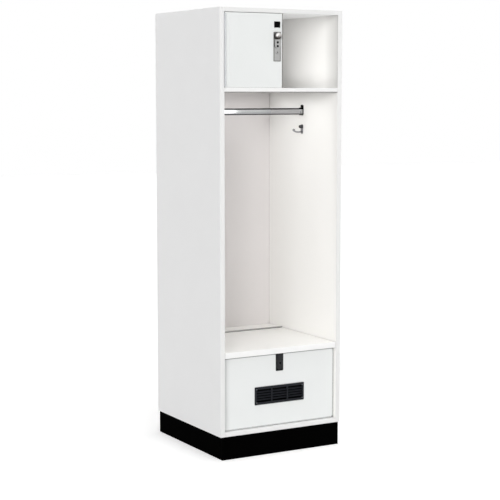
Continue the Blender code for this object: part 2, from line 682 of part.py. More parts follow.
def build_foot_front(white):
    """The foot locker's front, with a window behind each column of louvres and a bore for the lock."""
    low = (LEFT_INNER_X + FRONT_PANEL_SIDE_GAP, PANEL_FRONT_Y, PANEL_FOOT_Z)
    high = (RIGHT_INNER_X - FRONT_PANEL_SIDE_GAP, PANEL_BACK_Y, PANEL_HEAD_Z)
    front = board("foot_locker_front", low, high, white)
    place = grille_place()
    window_half = GRILLE_HEIGHT / 2 - GRILLE_HEAD_BORDER + VENT_WINDOW_MARGIN
    back = -BOARD_THICKNESS - CUT_OVERRUN
    for column, (left, right) in enumerate(louvre_windows()):
        low = (left - VENT_WINDOW_MARGIN, -window_half, back)
        high = (right + VENT_WINDOW_MARGIN, window_half, CUT_OVERRUN)
        cut(front, block(f"vent_window_{column}", low, high, None, place))
    bore = FOOT_BARREL_RADIUS + FOOT_BARREL_CLEARANCE
    cut(front, rod("foot_lock_bore", bore, back, CUT_OVERRUN, on_front(FOOT_LOCK_AXIS)))


def build_foot_lock(black, zinc):
    """The foot locker's cam lock, and the keeper under the lid that its cam turns over."""
    place = on_front(FOOT_LOCK_AXIS)
    face = JOINT_GAP + FOOT_LOCK_PLATE_THICKNESS
    boss_face = face + FOOT_BOSS_RISE
    half = FOOT_LOCK_WIDTH / 2
    corners = ((-half, FOOT_LOCK_AXIS_DROP - FOOT_LOCK_HEIGHT), (half, FOOT_LOCK_AXIS_DROP))
    outline = rounded(*corners, FOOT_LOCK_CORNER)
    housing = soften(plate("foot_lock_housing", [outline], JOINT_GAP, face, place, black), SMALL_EDGE)
    boss_head = FOOT_LOCK_AXIS_DROP - FOOT_BOSS_TOP_MARGIN
    half = FOOT_BOSS_WIDTH / 2
    corners = ((-half, boss_head - FOOT_BOSS_HEIGHT), (half, boss_head))
    boss_outline = rounded(*corners, half - SMALL_EDGE, FOOT_LOCK_CORNER)
    boss = plate("foot_lock_boss", [boss_outline], JOINT_GAP + SMALL_EDGE, boss_face, place)
    join(housing, soften(boss, SMALL_EDGE))
    barrel_end = -BOARD_THICKNESS - FOOT_BARREL_BEHIND
    join(housing, rod("foot_lock_barrel", FOOT_BARREL_RADIUS, barrel_end, JOINT_GAP + SMALL_EDGE, place))
    bore = FOOT_PLUG_RADIUS + FOOT_PLUG_CLEARANCE
    cut(housing, rod("foot_plug_bore", bore, barrel_end - CUT_OVERRUN, boss_face + CUT_OVERRUN, place))

    head = boss_face + FOOT_PLUG_RISE
    shoulder = barrel_end - JOINT_GAP
    cam_front = shoulder - JOINT_GAP
    cam_back = cam_front - CAM_THICKNESS
    end = cam_back - CAM_STEM_BEHIND
    body = [(0, head), (FOOT_PLUG_RADIUS, head), (FOOT_PLUG_RADIUS, shoulder)]
    stem = [(CAM_STEM_RADIUS, shoulder), (CAM_STEM_RADIUS, end), (0, end)]
    plug = turned("foot_lock_plug", body + stem, place, black)
    cut(plug, keyway("foot_lock_slot", head, 1, place))
    hole = circle(CAM_STEM_RADIUS + FOOT_PLUG_CLEARANCE)
    shape = [tongue_outline(CAM_WIDTH, CAM_REACH), hole]
    upright = place @ Matrix.Rotation(math.pi, 4, "Z")
    plate("foot_lock_cam", shape, cam_back, cam_front, upright, zinc)
    nut_head = -BOARD_THICKNESS - JOINT_GAP
    nut_hole = circle(FOOT_BARREL_RADIUS + FOOT_BARREL_CLEARANCE)
    nut = [circle(FOOT_NUT_RADIUS, HEXAGON), nut_hole]
    plate("foot_lock_nut", nut, nut_head - FOOT_NUT_THICKNESS, nut_head, place, zinc)

    thick = KEEPER_THICKNESS
    leg_front = PANEL_FRONT_Y - cam_back + KEEPER_CAM_GAP
    front = Vector((KEEPER_SIDE_OFFSET, leg_front, SEAT_UNDERSIDE_Z - JOINT_GAP))
    lip_head = FOOT_LOCK_AXIS.z - CAM_WIDTH / 2 - KEEPER_CAM_GAP - front.z
    lip = -KEEPER_LIP_REACH
    foot = KEEPER_FOOT_LENGTH
    bent = [(lip, lip_head - thick), (thick, lip_head - thick), (thick, -thick), (foot, -thick)]
    bent += [(foot, 0), (0, 0), (0, lip_head), (lip, lip_head)]
    place = facing(front, (0, 1, 0), (0, 0, 1))
    plate("lid_keeper", [bent], 0, KEEPER_WIDTH, place, zinc)


def build_rail(chrome):
    """The oval hanging rail, and the socket plates on the sides that carry its ends."""
    inset = JOINT_GAP + SUPPORT_PLATE_THICKNESS + JOINT_GAP
    half = RIGHT_INNER_X - inset
    centre = Vector((0, MID_DEPTH_Y, RAIL_Z))
    bore = stadium(RAIL_DEPTH - 2 * RAIL_WALL, RAIL_HEIGHT - 2 * RAIL_WALL)
    along = facing(centre, (0, 1, 0), (0, 0, 1))
    plate("coat_rail", [stadium(RAIL_DEPTH, RAIL_HEIGHT), bore], -half, half, along, chrome)
    slack = 2 * SUPPORT_CLEARANCE
    wall = 2 * SUPPORT_COLLAR_WALL
    socket = stadium(RAIL_DEPTH + slack, RAIL_HEIGHT + slack)
    collar_outline = stadium(RAIL_DEPTH + slack + wall, RAIL_HEIGHT + slack + wall)
    half_plate = SUPPORT_PLATE_WIDTH / 2
    outline = rounded((-half_plate, -SUPPORT_REACH_DOWN), (half_plate, SUPPORT_REACH_UP), SUPPORT_CORNER)
    for name, side in (("rail_support_left", -1), ("rail_support_right", 1)):
        place = on_wall(side, MID_DEPTH_Y, RAIL_Z)
        support = plate(name, [outline], 0, SUPPORT_PLATE_THICKNESS, place, chrome)
        high = SUPPORT_PLATE_THICKNESS + SUPPORT_COLLAR_LENGTH
        collar = plate(f"{name}_collar", [collar_outline, socket], SUPPORT_PLATE_THICKNESS / 2, high, place)
        join(support, collar)


def hook_wire(name, place):
    """The hook's prong: round wire that leaves the plate square, then bends down and up to its tip.

    Its path is a cubic Bezier curve, with one handle straight out of the plate and one below the tip.
    """
    root = Vector((0, -HOOK_ROOT_DROP, HOOK_PLATE_THICKNESS / 2))
    leave = Vector((0, -HOOK_ROOT_DROP, HOOK_REACH * HOOK_LEAVE_SHARE))
    bend = Vector((0, -HOOK_BEND_DROP, HOOK_REACH * HOOK_BEND_SHARE))
    tip = Vector((0, -HOOK_TIP_DROP, HOOK_REACH - HOOK_BALL_RADIUS))
    curve = bpy.data.curves.new(name, "CURVE")
    curve.dimensions = "3D"
    curve.bevel_depth = HOOK_WIRE_RADIUS
    curve.bevel_resolution = 2
    curve.use_fill_caps = True
    spline = curve.splines.new("POLY")
    spline.points.add(HOOK_WIRE_STEPS)
    for k, point in enumerate(spline.points):
        t = k / HOOK_WIRE_STEPS
        first = root.lerp(leave, t).lerp(leave.lerp(bend, t), t)
        second = leave.lerp(bend, t).lerp(bend.lerp(tip, t), t)
        point.co = (*first.lerp(second, t), 1)
    wire = bpy.data.objects.new(name, curve)
    bpy.data.collections["cutters"].objects.link(wire)
    return add_object(name, mesh_of(wire), place)


def hook_peg(name, place):
    """The short peg above the prong, with a domed head."""
    root = HOOK_PLATE_THICKNESS / 2
    heel = HOOK_PEG_REACH - HOOK_PEG_HEAD_LENGTH
    round_head = arc((0, 0), HOOK_PEG_HEAD_RADIUS, 90, 0, CORNER_STEPS)
    flatness = HOOK_PEG_HEAD_LENGTH / HOOK_PEG_HEAD_RADIUS
    dome = [(radius, heel + height * flatness) for radius, height in round_head]
    stem = [(HOOK_PEG_RADIUS, heel), (HOOK_PEG_RADIUS, root), (0, root)]
    middle = place @ Matrix.Translation((0, HOOK_PEG_RISE, 0))
    return turned(name, dome + stem, middle, sides=HOOK_PEG_SIDES)


def build_hooks(chrome):
    """A coat hook on each side: a plate, a peg, and one prong with a ball on its tip."""
    outline = centred(HOOK_PLATE_WIDTH, HOOK_PLATE_HEIGHT, HOOK_PLATE_CORNER)
    for name, side in (("coat_hook_left", -1), ("coat_hook_right", 1)):
        place = on_wall(side, MID_DEPTH_Y, HOOK_Z)
        hook = soften(plate(name, [outline], 0, HOOK_PLATE_THICKNESS, place, chrome), SMALL_EDGE)
        join(hook, hook_wire(f"{name}_prong", place))
        join(hook, hook_peg(f"{name}_peg", place))
        shape = bmesh.new()
        sides = BALL_SIDES
        bmesh.ops.create_uvsphere(shape, u_segments=sides, v_segments=BALL_RINGS, radius=HOOK_BALL_RADIUS)
        tip = Matrix.Translation((0, -HOOK_TIP_DROP, HOOK_REACH - HOOK_BALL_RADIUS))
        join(hook, add_object(f"{name}_ball", from_bmesh(f"{name}_ball", shape), place @ tip))


def build():
    """Make the whole locker."""
    start_scene()
    white = paint("white_laminate", (0.86, 0.87, 0.87), 0.45, 0.0)
    black = paint("black_base", (0.01, 0.01, 0.01), 0.5, 0.0)
    plastic = paint("black_plastic", (0.025, 0.025, 0.028), 0.4, 0.0)
    nickel = paint("satin_nickel", (0.62, 0.60, 0.57), 0.3, 1.0)
    chrome = paint("chrome", (0.75, 0.76, 0.78), 0.08, 1.0)
    zinc = paint("zinc", (0.55, 0.56, 0.58), 0.35, 1.0)
    build_case(white)
    build_base(black)
    build_door(white, nickel)
    build_number_plate(plastic)
    build_latch(nickel, zinc)
    build_seat(white, nickel)
    build_foot_front(white)
    build_grille(plastic)
    build_foot_lock(plastic, zinc)
    build_rail(chrome)
    build_hooks(chrome)


build()
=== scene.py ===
# %% [markdown]
# # An open-front gear locker
# The locker is a tall box of white laminated boards on a black base. It has a small compartment with a
# door at the top, an open one beside it, a hanging space with a rail and hooks, and a seat whose lid
# covers a foot locker. The boards and fittings come in as a fixed frame that moves on its joints. This
# lesson gives each of them its finish, and builds round parts and trim anew, because a curve needs more
# faces than a frame for motion has.

# %% The frame and what the lesson needs
import math

import bmesh
import bpy
import numpy as np
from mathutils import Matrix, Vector


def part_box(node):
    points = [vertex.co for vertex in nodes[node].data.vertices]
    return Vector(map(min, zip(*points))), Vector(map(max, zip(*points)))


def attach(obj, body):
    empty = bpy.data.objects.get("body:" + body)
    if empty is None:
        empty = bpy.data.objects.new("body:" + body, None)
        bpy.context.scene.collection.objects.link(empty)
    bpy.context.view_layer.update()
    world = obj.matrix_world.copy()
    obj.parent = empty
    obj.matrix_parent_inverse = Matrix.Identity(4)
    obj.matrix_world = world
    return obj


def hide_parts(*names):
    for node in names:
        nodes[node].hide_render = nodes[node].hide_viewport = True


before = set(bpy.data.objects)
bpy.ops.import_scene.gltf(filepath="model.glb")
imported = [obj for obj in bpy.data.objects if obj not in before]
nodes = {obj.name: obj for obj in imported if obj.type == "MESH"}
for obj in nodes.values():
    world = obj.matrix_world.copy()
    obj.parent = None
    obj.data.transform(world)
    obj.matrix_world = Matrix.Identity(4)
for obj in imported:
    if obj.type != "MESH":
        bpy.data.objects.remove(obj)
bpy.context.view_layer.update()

# %% [markdown]
# ## The camera
# The photograph was taken from the front left, a little above half height, with a long lens. The lens and
# the place were worked out from the straight edges of the box, which are known to be upright or square to
# each other. Setting the camera first means that each later render can be laid beside the photograph.

# %% Camera
SENSOR_WIDTH = 36.0
LENS = 100.53
CAMERA_PLACE = (-3.111, -5.451, 1.567)
CAMERA_TILT = 83.65
CAMERA_TURN = -29.78

camera_data = bpy.data.cameras.new("studio_camera")
camera_data.sensor_width = SENSOR_WIDTH
camera_data.lens = LENS
camera = bpy.data.objects.new("studio_camera", camera_data)
camera.location = CAMERA_PLACE
camera.rotation_euler = (math.radians(CAMERA_TILT), 0, math.radians(CAMERA_TURN))
bpy.context.scene.collection.objects.link(camera)
bpy.context.scene.camera = camera
bpy.context.scene.view_settings.view_transform = "Standard"
print("camera", CAMERA_PLACE)

# %% [markdown]
# ## Nodes and colours
# A finish is a small graph of shader nodes. One function adds any node, sets its properties and fills its
# sockets with values or with links. Colours are written as hex values, as a painter would note them, and
# the shader wants them linear, so one function turns them round the sRGB curve.

# %% One function for nodes, one for colours
SRGB_KNEE = 0.04045
SRGB_SLOPE = 12.92
SRGB_OFFSET = 0.055
SRGB_POWER = 2.4
HEX_TOP = 255


def linear(code):
    """Turn an sRGB hex value into linear colour. Below the knee, a value is divided by the slope. Above it,
    the value plus the offset, over one plus the offset, is raised to the power."""
    values = [int(code[k:k + 2], 16) / HEX_TOP for k in (1, 3, 5)]
    bent = [((v + SRGB_OFFSET) / (1 + SRGB_OFFSET)) ** SRGB_POWER for v in values]
    return (*[v / SRGB_SLOPE if v < SRGB_KNEE else b for v, b in zip(values, bent)], 1.0)


def add(tree, kind, sockets=None, **settings):
    """Add a node. Settings are its properties. Sockets are its inputs, each with a value or a link."""
    node = tree.nodes.new(kind)
    for key, value in settings.items():
        setattr(node, key, value)
    for key, value in (sockets or {}).items():
        if isinstance(value, bpy.types.NodeSocket):
            tree.links.new(value, node.inputs[key])
        else:
            node.inputs[key].default_value = value
    return node


# %% [markdown]
# ## The room
# The locker stands on a pale floor in front of nothing. A camera ray that leaves the scene sees white, and
# so do rays that bounce off metal, so the chrome has something bright to show. The light is set apart from
# that: the dome that fills every side is weak. The floor is paper that shows a shadow, with a glow that
# only the camera sees.

# %% World and floor
WHITE = linear("#FFFFFF")
PAPER = linear("#EDEDED")
DOME_STRENGTH = 0.25
FLOOR_SIZE = 40.0
FLOOR_GLOW = 0.36

world = bpy.data.worlds.new("studio")
bpy.context.scene.world = world
world.use_nodes = True
tree = world.node_tree
tree.nodes.clear()
rays = add(tree, "ShaderNodeLightPath")
seen = rays.outputs["Is Camera Ray"]
for kind in ("Is Glossy Ray", "Is Transmission Ray"):
    seen = add(tree, "ShaderNodeMath", {0: seen, 1: rays.outputs[kind]}, operation="MAXIMUM").outputs[0]
strength = add(tree, "ShaderNodeMapRange", {"Value": seen, "To Min": DOME_STRENGTH, "To Max": 1.0})
sky = add(tree, "ShaderNodeBackground", {"Color": WHITE, "Strength": strength.outputs[0]})
add(tree, "ShaderNodeOutputWorld", {"Surface": sky.outputs[0]})

floor_finish = bpy.data.materials.new("studio_paper")
floor_finish.use_nodes = True
tree = floor_finish.node_tree
tree.nodes.clear()
rays = add(tree, "ShaderNodeLightPath")
glow = add(tree, "ShaderNodeMath", {0: rays.outputs["Is Camera Ray"], 1: FLOOR_GLOW}, operation="MULTIPLY")
paper = add(tree, "ShaderNodeBsdfDiffuse", {"Color": PAPER})
light = add(tree, "ShaderNodeEmission", {"Color": WHITE, "Strength": glow.outputs[0]})
both = add(tree, "ShaderNodeAddShader", {0: paper.outputs[0], 1: light.outputs[0]})
add(tree, "ShaderNodeOutputMaterial", {"Surface": both.outputs[0]})

floor_mesh = bpy.data.meshes.new("studio_floor")
corners = FLOOR_SIZE / 2 * np.array([(-1, -1, 0), (1, -1, 0), (1, 1, 0), (-1, 1, 0)])
floor_mesh.from_pydata(corners.tolist(), [], [(0, 1, 2, 3)])
floor_mesh.materials.append(floor_finish)
studio_floor = bpy.data.objects.new("studio_floor", floor_mesh)
bpy.context.scene.collection.objects.link(studio_floor)
print("floor", FLOOR_SIZE, "wide")

# %% [markdown]
# ## Lights
# Suns with a wide disc stand for walls of light far away. They light the head and the foot of a tall piece
# alike, as a near lamp can't. The strongest comes from the front left and reaches into the box, and a
# narrower one beside it gives the light in there a firmer edge. The suns from above, the right and behind
# only fill. They aren't mirrored in anything, because a pale top would clip to white in their sheen. Small
# lamps inside the box stand for the light that a room's walls throw in there. Of the lamps, only the
# softbox is mirrored.

# %% Suns round the locker, and lamps that lift its dark inside
WIDE_DISC = 35.0
RAKING_DISC = 14.0
SUNS = {
    "key_sun": {"azimuth": -46, "elevation": 13, "strength": 1.24, "disc": WIDE_DISC, "mirrored": True},
    "raking_sun": {"azimuth": -37, "elevation": 13, "strength": 0.38, "disc": RAKING_DISC, "mirrored": True},
    "front_sun": {"azimuth": 0, "elevation": 45, "strength": 0.36, "disc": WIDE_DISC, "mirrored": True},
    "top_sun": {"azimuth": 0, "elevation": 80, "strength": 0.95, "disc": WIDE_DISC, "mirrored": False},
    "right_sun": {"azimuth": 95, "elevation": 10, "strength": 1.0, "disc": WIDE_DISC, "mirrored": False},
    "back_sun": {"azimuth": 170, "elevation": 10, "strength": 1.0, "disc": WIDE_DISC, "mirrored": False},
}
LAMPS = {
    "softbox":
        {"place": (1.52, -3.55, 1.6), "target": (0, 0, 1.2), "size": (0.7, 1.2), "watts": 4.5,
         "mirrored": True},
    "hanging_space_lamp":
        {"place": (0.09, 0.02, 1.56), "target": (0.09, 0.02, 0), "size": (0.3, 0.4), "watts": 0.37},
    "opening_lamp":
        {"place": (0.16, -0.295, 1.0), "target": (0.16, 1, 0.95), "size": (0.14, 1.0), "watts": 0.2},
    "compartment_lamp":
        {"place": (0.14, -0.1, 1.905), "target": (0.14, -0.1, 0), "size": (0.2, 0.4), "watts": 0.08},
    "compartment_floor_lamp":
        {"place": (0.14, -0.08, 1.62), "target": (0.14, -0.08, 3), "size": (0.2, 0.4), "watts": 0.2},
    "closed_compartment_lamp":
        {"place": (-0.14, 0.0, 1.905), "target": (-0.14, 0.0, 0), "size": (0.2, 0.4), "watts": 0.14},
}


def hang(name, data, place, towards):
    """Put a light in the scene at a place, facing along a direction."""
    holder = bpy.data.objects.new(name, data)
    holder.location = place
    holder.rotation_euler = Vector(towards).to_track_quat("-Z", "Y").to_euler()
    bpy.context.scene.collection.objects.link(holder)
    return holder


for name, sun in SUNS.items():
    data = bpy.data.lights.new(name, "SUN")
    data.energy = sun["strength"]
    data.angle = math.radians(sun["disc"])
    turn, rise = math.radians(sun["azimuth"]), math.radians(sun["elevation"])
    source = Vector((math.cos(rise) * math.sin(turn), -math.cos(rise) * math.cos(turn), math.sin(rise)))
    hang(name, data, source, -source).visible_glossy = sun["mirrored"]
for name, lamp in LAMPS.items():
    data = bpy.data.lights.new(name, "AREA")
    data.shape = "RECTANGLE"
    data.size, data.size_y = lamp["size"]
    data.energy = lamp["watts"]
    holder = hang(name, data, lamp["place"], Vector(lamp["target"]) - Vector(lamp["place"]))
    holder.visible_camera = False
    holder.visible_glossy = lamp.get("mirrored", False)
print("lights", list(SUNS), list(LAMPS))

# %% [markdown]
# ## What the finishes share
# Every finish starts from the object's own coordinates, which are metres here, so its pattern keeps its
# real size. Noise varies the roughness and raises a bump. A band lays another tone over part of a surface.
# Bands stand for lines that are too fine to build, such as a line of glue, for painted shade and shadow
# lines on the boards, and for painted reflections of the dark things in a photographer's room that polished
# metal mirrors and this plain studio hasn't. A band is measured from a face of its part, so it stays put from
# every side.

# %% Start, noise, mixing, roughness and bands
X, Y, Z = range(3)
MIX_SHARE, MIX_FIRST, MIX_SECOND, MIX_RESULT = 0, 6, 7, 2


def finish_start(name):
    """A new material: its tree, its Principled shader and the object coordinates."""
    material = bpy.data.materials.new(name)
    material.use_nodes = True
    tree = material.node_tree
    place = add(tree, "ShaderNodeTexCoord").outputs["Object"]
    return material, tree, tree.nodes["Principled BSDF"], place


def noise(tree, place, size, detail):
    """Noise whose patches are about as wide as size, with finer noise over it for each step of detail."""
    return add(tree, "ShaderNodeTexNoise", {"Vector": place, "Scale": 1 / size, "Detail": detail}).outputs[0]


def mix(tree, share, first, second):
    """Mix two colours: the first times one less the share, plus the second times the share."""
    node = add(tree, "ShaderNodeMix", {MIX_SHARE: share, MIX_FIRST: first, MIX_SECOND: second},
               data_type="RGBA")
    return node.outputs[MIX_RESULT]


def roughen(tree, shader, haze, low, high, relief, strength, height):
    """Move the roughness between low and high by one noise, and raise a bump of a height by another."""
    rough = add(tree, "ShaderNodeMapRange", {"Value": haze, "To Min": low, "To Max": high})
    bump = add(tree, "ShaderNodeBump", {"Height": relief, "Strength": strength, "Distance": height})
    tree.links.new(rough.outputs[0], shader.inputs["Roughness"])
    tree.links.new(bump.outputs[0], shader.inputs["Normal"])


def band(node, axis, face, span, tone):
    """A band on a node, as (axis, origin, start, end, tone). The span gives two distances along the axis from
    the node's low face, middle or high face: the tone comes in at the first and is all there at the second.
    Where the second is the shorter, both are taken from the face across instead: the length less each."""
    low, high = (corner[axis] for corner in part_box(node))
    start, end = span
    if start < end:
        return axis, {"low": low, "middle": (low + high) / 2, "high": high}[face], start, end, tone
    return axis, {"low": high, "high": low}[face], high - low - start, high - low - end, tone


def banded(tree, place, colour, bands):
    """Lay bands over a colour. Where the distance from a band's origin along its axis is past start, its tone
    comes in, and past end the tone is all there is. A later band lies over an earlier one."""
    apart = add(tree, "ShaderNodeSeparateXYZ", {0: place})
    for axis, origin, start, end, tone in bands:
        off = add(tree, "ShaderNodeMath", {0: apart.outputs[axis], 1: origin}, operation="SUBTRACT")
        off = add(tree, "ShaderNodeMath", {0: off.outputs[0]}, operation="ABSOLUTE")
        share = add(tree, "ShaderNodeMapRange", {"Value": off.outputs[0], "From Min": start, "From Max": end})
        colour = mix(tree, share.outputs[0], colour, linear(tone))
    return colour


# %% [markdown]
# ## Finishes of the boards
# The boards are particleboard with thermally fused melamine: printed paper pressed on in a hot press,
# whose plate leaves a fine pebble. The eye gets an even white with a soft sheen that breaks up a little in
# the pebble. Melamine bends light by about 1.5. Two close tones that drift over a hand's width keep a
# large white face from looking like paint on glass. The base is the same board in black, with hardly any
# sheen.
#
# Where boards meet, little light gets in. A crease paints that shade into the tone, by how much of the half
# sphere over a point is open. Fronts in a narrow gap get a hard crease of painted shade, and plain corners a
# soft one. The edges of the boards wear a smoother strip of ABS. The strips on the lid and the shelf are a
# tone brighter than the others, as they are in the photograph: painted light on the same strip.

# %% One function for melamine
PEBBLE = 0.0011
PEBBLE_RELIEF = 0.12
PEBBLE_HEIGHT = 0.0002
PEBBLE_DETAIL = 1.0
HAND_WIDTH = 0.16
DRIFT_DETAIL = 3.0
MELAMINE_IOR = 1.5
ROUGHNESS_DRIFT = 0.045
CREASE_SAMPLES = 8
BOARD = {"roughness": 0.44, "sheen": 0.35}
BACK_BOARD = {"roughness": 0.5, "sheen": 0.3}
BASE_BOARD = {"roughness": 0.8, "sheen": 0.004}
EDGE_STRIP = {"roughness": 0.38, "sheen": 0.4}
# Crease shades, each (tone, reach, shut, free): painted shade where boards meet and little light gets in.
SOFT_CREASE_SHADE = ("#D4D3D1", 0.02, 0.1, 0.6)
WARM_CREASE_SHADE = ("#D6D2D0", 0.025, 0.1, 0.62)
HARD_CREASE_SHADE = ("#6A6968", 0.025, 0.1, 0.62)
LID_CREASE_SHADE = ("#727272", 0.013, 0.5, 0.84)
STRIP_CREASE_SHADE = ("#B5B4B3", 0.025, 0.1, 0.62)
LEDGE_CREASE_SHADE = ("#F1F0ED", 0.01, 0.1, 0.6)
BLACK_CREASE_SHADE = ("#010101", 0.025, 0.1, 0.62)


def melamine(name, tones, crease, roughness, sheen, bands=()):
    """Pressed melamine: two tones mixed by a slow noise, bands, painted shade in its creases, and a bump of
    pebbles.

    A crease shade is (tone, reach, shut, free): the painted shade's tone is all there is where less than the
    share shut of the half sphere over a point is open within reach, and it is gone where more than the share
    free is open."""
    material, tree, shader, place = finish_start(name)
    drift = noise(tree, place, HAND_WIDTH, DRIFT_DETAIL)
    colour = banded(tree, place, mix(tree, drift, *map(linear, tones)), bands)
    crease_tone, reach, shut, free = crease
    # Painted shade: the crease tone is mixed in where the half sphere over a point is mostly shut.
    open_sky = add(tree, "ShaderNodeAmbientOcclusion", {"Distance": reach}, samples=CREASE_SAMPLES)
    shade = add(tree, "ShaderNodeMapRange", {"Value": open_sky.outputs["AO"], "From Min": shut,
                                             "From Max": free, "To Min": 1.0, "To Max": 0.0})
    tree.links.new(mix(tree, shade.outputs[0], colour, linear(crease_tone)), shader.inputs["Base Color"])
    roughen(tree, shader, drift, roughness - ROUGHNESS_DRIFT, roughness + ROUGHNESS_DRIFT,
            noise(tree, place, PEBBLE, PEBBLE_DETAIL), PEBBLE_RELIEF, PEBBLE_HEIGHT)
    shader.inputs["IOR"].default_value = MELAMINE_IOR
    shader.inputs["Specular IOR Level"].default_value = sheen
    return material


# %% The plain boards and strips
WHITE_TONES = ("#F2F2F2", "#EFEFEF")
COOL_TONES = ("#ECEEED", "#E9EBEA")
# Painted light: the inside tones are the boards' white made lighter, for faces inside the box that get less
# light; the outer face of the same board keeps the plain white.
LIFTED_INNER_TONES = ("#F9F8F5", "#F6F5F2")
white_melamine = melamine("white_melamine_board", WHITE_TONES, SOFT_CREASE_SHADE, **BOARD)
front_melamine = melamine("cool_white_melamine_front", COOL_TONES, HARD_CREASE_SHADE, **BOARD)
lifted_inner_melamine = melamine("warm_white_melamine_inside_painted_light", LIFTED_INNER_TONES, SOFT_CREASE_SHADE, **BOARD)
# Painted light: the ledge lies in shade at the back, so its white and its crease are made lighter.
lifted_ledge_melamine = melamine("warm_white_melamine_ledge_painted_light", ("#FDFCF9", "#FBFAF7"), LEDGE_CREASE_SHADE, **BOARD)
back_melamine = melamine("warm_white_back_board", ("#E9E5E4", "#E6E2E1"), WARM_CREASE_SHADE, **BACK_BOARD)
black_melamine = melamine("black_melamine_base", ("#030303", "#020202"), BLACK_CREASE_SHADE, **BASE_BOARD)
edge_band = melamine("white_abs_edge_band", ("#ECECEB", "#EAEAE9"), STRIP_CREASE_SHADE, **EDGE_STRIP)
# Painted light: the lid's strip is the same ABS as the others, made a tone brighter.
lid_band_painted_light = melamine("white_abs_lid_band", ("#F7F7F6", "#F5F5F4"), STRIP_CREASE_SHADE, **EDGE_STRIP)
print("boards", white_melamine.name, black_melamine.name)

# %% [markdown]
# ## Boards with bands
# Inside the open compartment, the right side shows a grey line of glue behind its edge strip, and it darkens
# towards the front over a hand's width: painted shade. The same board is plain lower down, in the hanging
# space, and on its outer face, so two more bands give those parts their white back. The shelf's strip has a
# painted shadow line at its foot. The front of the foot locker has a painted shadow line under the lid, and
# a soft painted shade at its left. A band on its depth keeps both off its top edge, which shows when the lid
# is up.

# %% Right side, shelf strip and foot locker front
SIDE_SHADE = (0.105, 0.0)
GLUE_LINE = (0.0032, 0.0020)
SIDE_SKIN = (0.0004, 0.0008)
SHELF_FADE = 0.001
SHELF_SHADOW_LINE = (0.0034, 0.0026)
LID_SHADOW_LINE = (0.0070, 0.0060)
PANEL_SHADE = (0.034, 0.0)
PANEL_SKIN = (0.0003, 0.0006)

side_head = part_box("right_side")[1].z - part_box("compartment_shelf")[1].z
glued_and_shaded_melamine = melamine("white_melamine_glue_line_and_shade", LIFTED_INNER_TONES, SOFT_CREASE_SHADE, **BOARD, bands=[
    # Painted shade: the side darkens towards the front over a hand's width, behind a real dark glue line.
    band("right_side", Y, "low", SIDE_SHADE, "#D3D2CF"),
    band("right_side", Y, "low", GLUE_LINE, "#8C8A86"),
    band("right_side", Z, "high", (side_head, side_head + SHELF_FADE), "#F8F7F4"),
    band("right_side", X, "low", SIDE_SKIN, "#F2F2F2")])
# Painted light and shadow: the shelf's strip is a tone lighter than the other strips, with a dark shadow line
# painted along its foot.
shelf_band_painted_light_and_shadow = melamine("white_abs_shelf_band", ("#F3F3F2", "#F1F1F0"), STRIP_CREASE_SHADE, **EDGE_STRIP, bands=[
    band("compartment_shelf", Z, "low", SHELF_SHADOW_LINE, "#6E6C6A")])
panel_melamine = melamine("cool_white_melamine_panel", COOL_TONES, LID_CREASE_SHADE, **BOARD, bands=[
    # Painted shade: the panel's left darkens where the left side stands proud of it.
    band("foot_locker_front", X, "low", PANEL_SHADE, "#D6D8D7"),
    # Painted shadow: a dark line under the lid's overhang.
    band("foot_locker_front", Z, "high", LID_SHADOW_LINE, "#949494"),
    band("foot_locker_front", Y, "low", PANEL_SKIN, "#EBEDEC")])
print("shelf's top", round(side_head, 4), "below the side's")

# %% [markdown]
# ## Finishes of the fittings
# The latch is nickel plate over brushed brass, whose grain runs upright and smears each highlight along
# it. The rail and hooks are polished and chrome plated, a mirror that gives back about half of the light.
# Hidden steel is zinc plated, which is dull and slightly blue. A metal shows what it mirrors, so its colour
# is what it gives back at right angles, and its roughness does the rest. Bands paint in the dark reflections
# and shade that a real room would give it: the top and foot of the rail and its far end, the plates of its
# sockets, the hooks' pegs, the knob's lower part and flank, and the border of the latch plate.

# %% One function for metals
BRUSH_WIDTH = 0.0004
BRUSH_LENGTH = 0.03
PLATING_HAZE = 0.006
HAZE_SWING = 0.25
GRAIN_HEIGHT = 0.0001
GRAIN_DETAIL = 2.0
STRAIGHT = (1.0, 1.0, 1.0)
UPRIGHT = (1.0, 1.0, BRUSH_WIDTH / BRUSH_LENGTH)


def toned(tree, shader, place, tone, bands):
    """Give a shader its tone on the socket itself, or through bands where there are any."""
    shader.inputs["Base Color"].default_value = linear(tone)
    if bands:
        tree.links.new(banded(tree, place, linear(tone), bands), shader.inputs["Base Color"])


def metal(name, tone, roughness, relief, stretch=STRAIGHT, size=PLATING_HAZE, bands=()):
    """A plated metal: noise of the given size, stretched along the brushing, moves its roughness by a quarter
    up and down, and raises its bump."""
    material, tree, shader, place = finish_start(name)
    brushed = add(tree, "ShaderNodeMapping", {"Vector": place, "Scale": stretch}).outputs[0]
    grain = noise(tree, brushed, size, GRAIN_DETAIL)
    toned(tree, shader, place, tone, bands)
    shader.inputs["Metallic"].default_value = 1.0
    roughen(tree, shader, grain, (1 - HAZE_SWING) * roughness, (1 + HAZE_SWING) * roughness,
            grain, relief, GRAIN_HEIGHT)
    return material


# %% The metals and their bands
RAIL_TOP_REFLECTION = (0.0066, 0.0050)
RAIL_FOOT_REFLECTION = (0.0056, 0.0040)
RAIL_SHADE = (0.33, 0.42)
SOCKET_PLATE_DEPTH = 0.0036
SOCKET_FADE = 0.0006
PEG_REFLECTION = (0.0245, 0.0275)
KNOB_SHADE = (0.008, 0.023)
KNOB_FLANK_SHADE = (0.0095, 0.0105)
PLATE_SIDE_REFLECTION = (0.0128, 0.0145)
PLATE_END_REFLECTION = (0.0575, 0.0592)

socket_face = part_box("rail_support_right")[1].x - SOCKET_PLATE_DEPTH
